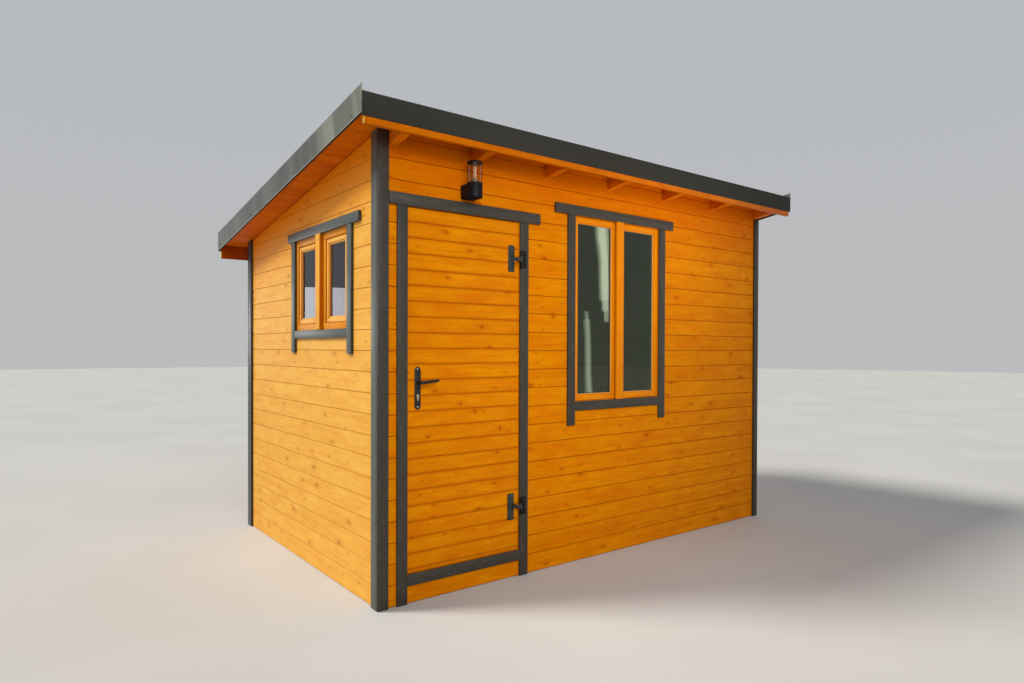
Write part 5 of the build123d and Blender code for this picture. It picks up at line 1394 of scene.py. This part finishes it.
# ---------------------------------------------------------------------------
# Studio
# ---------------------------------------------------------------------------
ft = Net("studio_floor")
fn = ft.noise(ft.obj(), 0.6, 3.0)
ft.put(ft.bsdf.inputs["Base Color"], ft.mix(ft.step(fn, 0.3, 0.7), rgb(188, 186, 182), rgb(194, 192, 188)))
ft.bsdf.inputs["Roughness"].default_value = 0.85
ft.bsdf.inputs["Specular IOR Level"].default_value = 0.2
bm = bmesh.new()
bmesh.ops.create_circle(bm, cap_ends=True, segments=96, radius=45.0)
me = bpy.data.meshes.new("studio_floor")
bm.to_mesh(me)
bm.free()
me.materials.append(ft.mat)
ground = bpy.data.objects.new("studio_floor", me)
ground.location = (0, 0, -0.002)
bpy.context.scene.collection.objects.link(ground)

scene = bpy.context.scene
scene.view_settings.view_transform = "Standard"
scene.view_settings.look = "None"
scene.view_settings.exposure = 0.0
world = bpy.data.worlds.new("studio")
scene.world = world
world.use_nodes = True
wt = world.node_tree
bg = wt.nodes["Background"]
tc = wt.nodes.new("ShaderNodeTexCoord")
sp = wt.nodes.new("ShaderNodeSeparateXYZ")
wt.links.new(tc.outputs["Generated"], sp.inputs[0])
ramp = wt.nodes.new("ShaderNodeValToRGB")
wt.links.new(sp.outputs[2], ramp.inputs[0])
ramp.color_ramp.elements[0].position = 0.0
ramp.color_ramp.elements[0].color = (0.86, 0.87, 0.88, 1.0)
ramp.color_ramp.elements[1].position = 0.6
ramp.color_ramp.elements[1].color = (0.80, 0.84, 0.90, 1.0)
wt.links.new(ramp.outputs[0], bg.inputs[0])
bg.inputs[1].default_value = 0.58


def area(name, loc, target, size, power, colour):
    li = bpy.data.lights.new(name, "AREA")
    li.shape = "RECTANGLE"
    li.size, li.size_y = size
    li.energy = power
    li.color = colour
    ob = bpy.data.objects.new(name, li)
    scene.collection.objects.link(ob)
    d = Vector(target) - Vector(loc)
    ob.rotation_euler = d.to_track_quat("-Z", "Y").to_euler()
    ob.location = loc
    return ob


sun = bpy.data.lights.new("key_left", "SUN")
sun.energy = 3.2
sun.angle = math.radians(16.0)
sun.color = (1.0, 0.97, 0.90)
so = bpy.data.objects.new("key_left", sun)
scene.collection.objects.link(so)
so.rotation_euler = (-Vector((-0.66, 0.45, 0.78))).to_track_quat("-Z", "Y").to_euler()
card = area("soft_back_left", (-4.6, 7.0, 1.90), (-1.8, 0.0, 1.9), (5.0, 1.0), 44.0, (1.0, 1.0, 1.0))
card.visible_diffuse = False
fill = area("fill_front", (-2.2, -5.4, 3.2), (-0.36, -1.09, 1.24), (2.6, 2.0), 25.0, (1.0, 0.97, 0.93))
fill.data.spread = math.radians(60.0)
bounce = area("bounce_front", (1.0, -3.6, 0.3), (0.5, -1.2, 2.50), (1.4, 0.8), 3.6, (1.0, 0.95, 0.88))
bounce.data.spread = math.radians(38.0)
bounce.visible_camera = False
for name, at, width, height, power, lean in (("soft_strip", (5.72, -6.75, 2.85), 0.11, 2.0, 1.8, 3.5), ("soft_strip_wide", (5.72, -6.75, 2.95), 0.19, 1.8, 2.2, 3.5), ("soft_strip_widest", (5.72, -6.75, 3.05), 0.27, 1.6, 1.8, 3.5),
                                             ("soft_strip_low", (5.46, -6.95, 1.3), 0.07, 1.5, 0.6, 2.5), ("soft_strip_low_wide", (5.46, -6.95, 1.2), 0.14, 1.4, 0.7, 2.5)):
    strip = area(name, at, (-0.13, -1.09, 1.63), (width, height), power, (1.0, 0.96, 0.92))
    strip.rotation_euler.rotate_axis("Z", math.radians(lean))
    strip.visible_diffuse = False

cam_data = bpy.data.cameras.new("view")
cam = bpy.data.objects.new("view", cam_data)
scene.collection.objects.link(cam)
yaw, pitch, roll = math.radians(52.4097), math.radians(-0.5956), math.radians(0.1914)
fwd = Vector((math.cos(yaw) * math.cos(pitch), math.sin(yaw) * math.cos(pitch), math.sin(pitch)))
rt = Vector((math.sin(yaw), -math.cos(yaw), 0.0))
upv = rt.cross(fwd)
r = rt * math.cos(roll) + upv * math.sin(roll)
u = -rt * math.sin(roll) + upv * math.cos(roll)
mat = Matrix((r, u, -fwd)).transposed().to_4x4()
mat.translation = Vector((-1.61629 - 1.7, -3.23238 - 1.09, 1.37487))
cam.matrix_world = mat
cam_data.sensor_fit = "HORIZONTAL"
cam_data.sensor_width = 36.0
cam_data.lens = 24.0
cam_data.shift_y = (354.716 - 341.5) / 1024.0
cam_data.clip_end = 200.0
scene.camera = cam
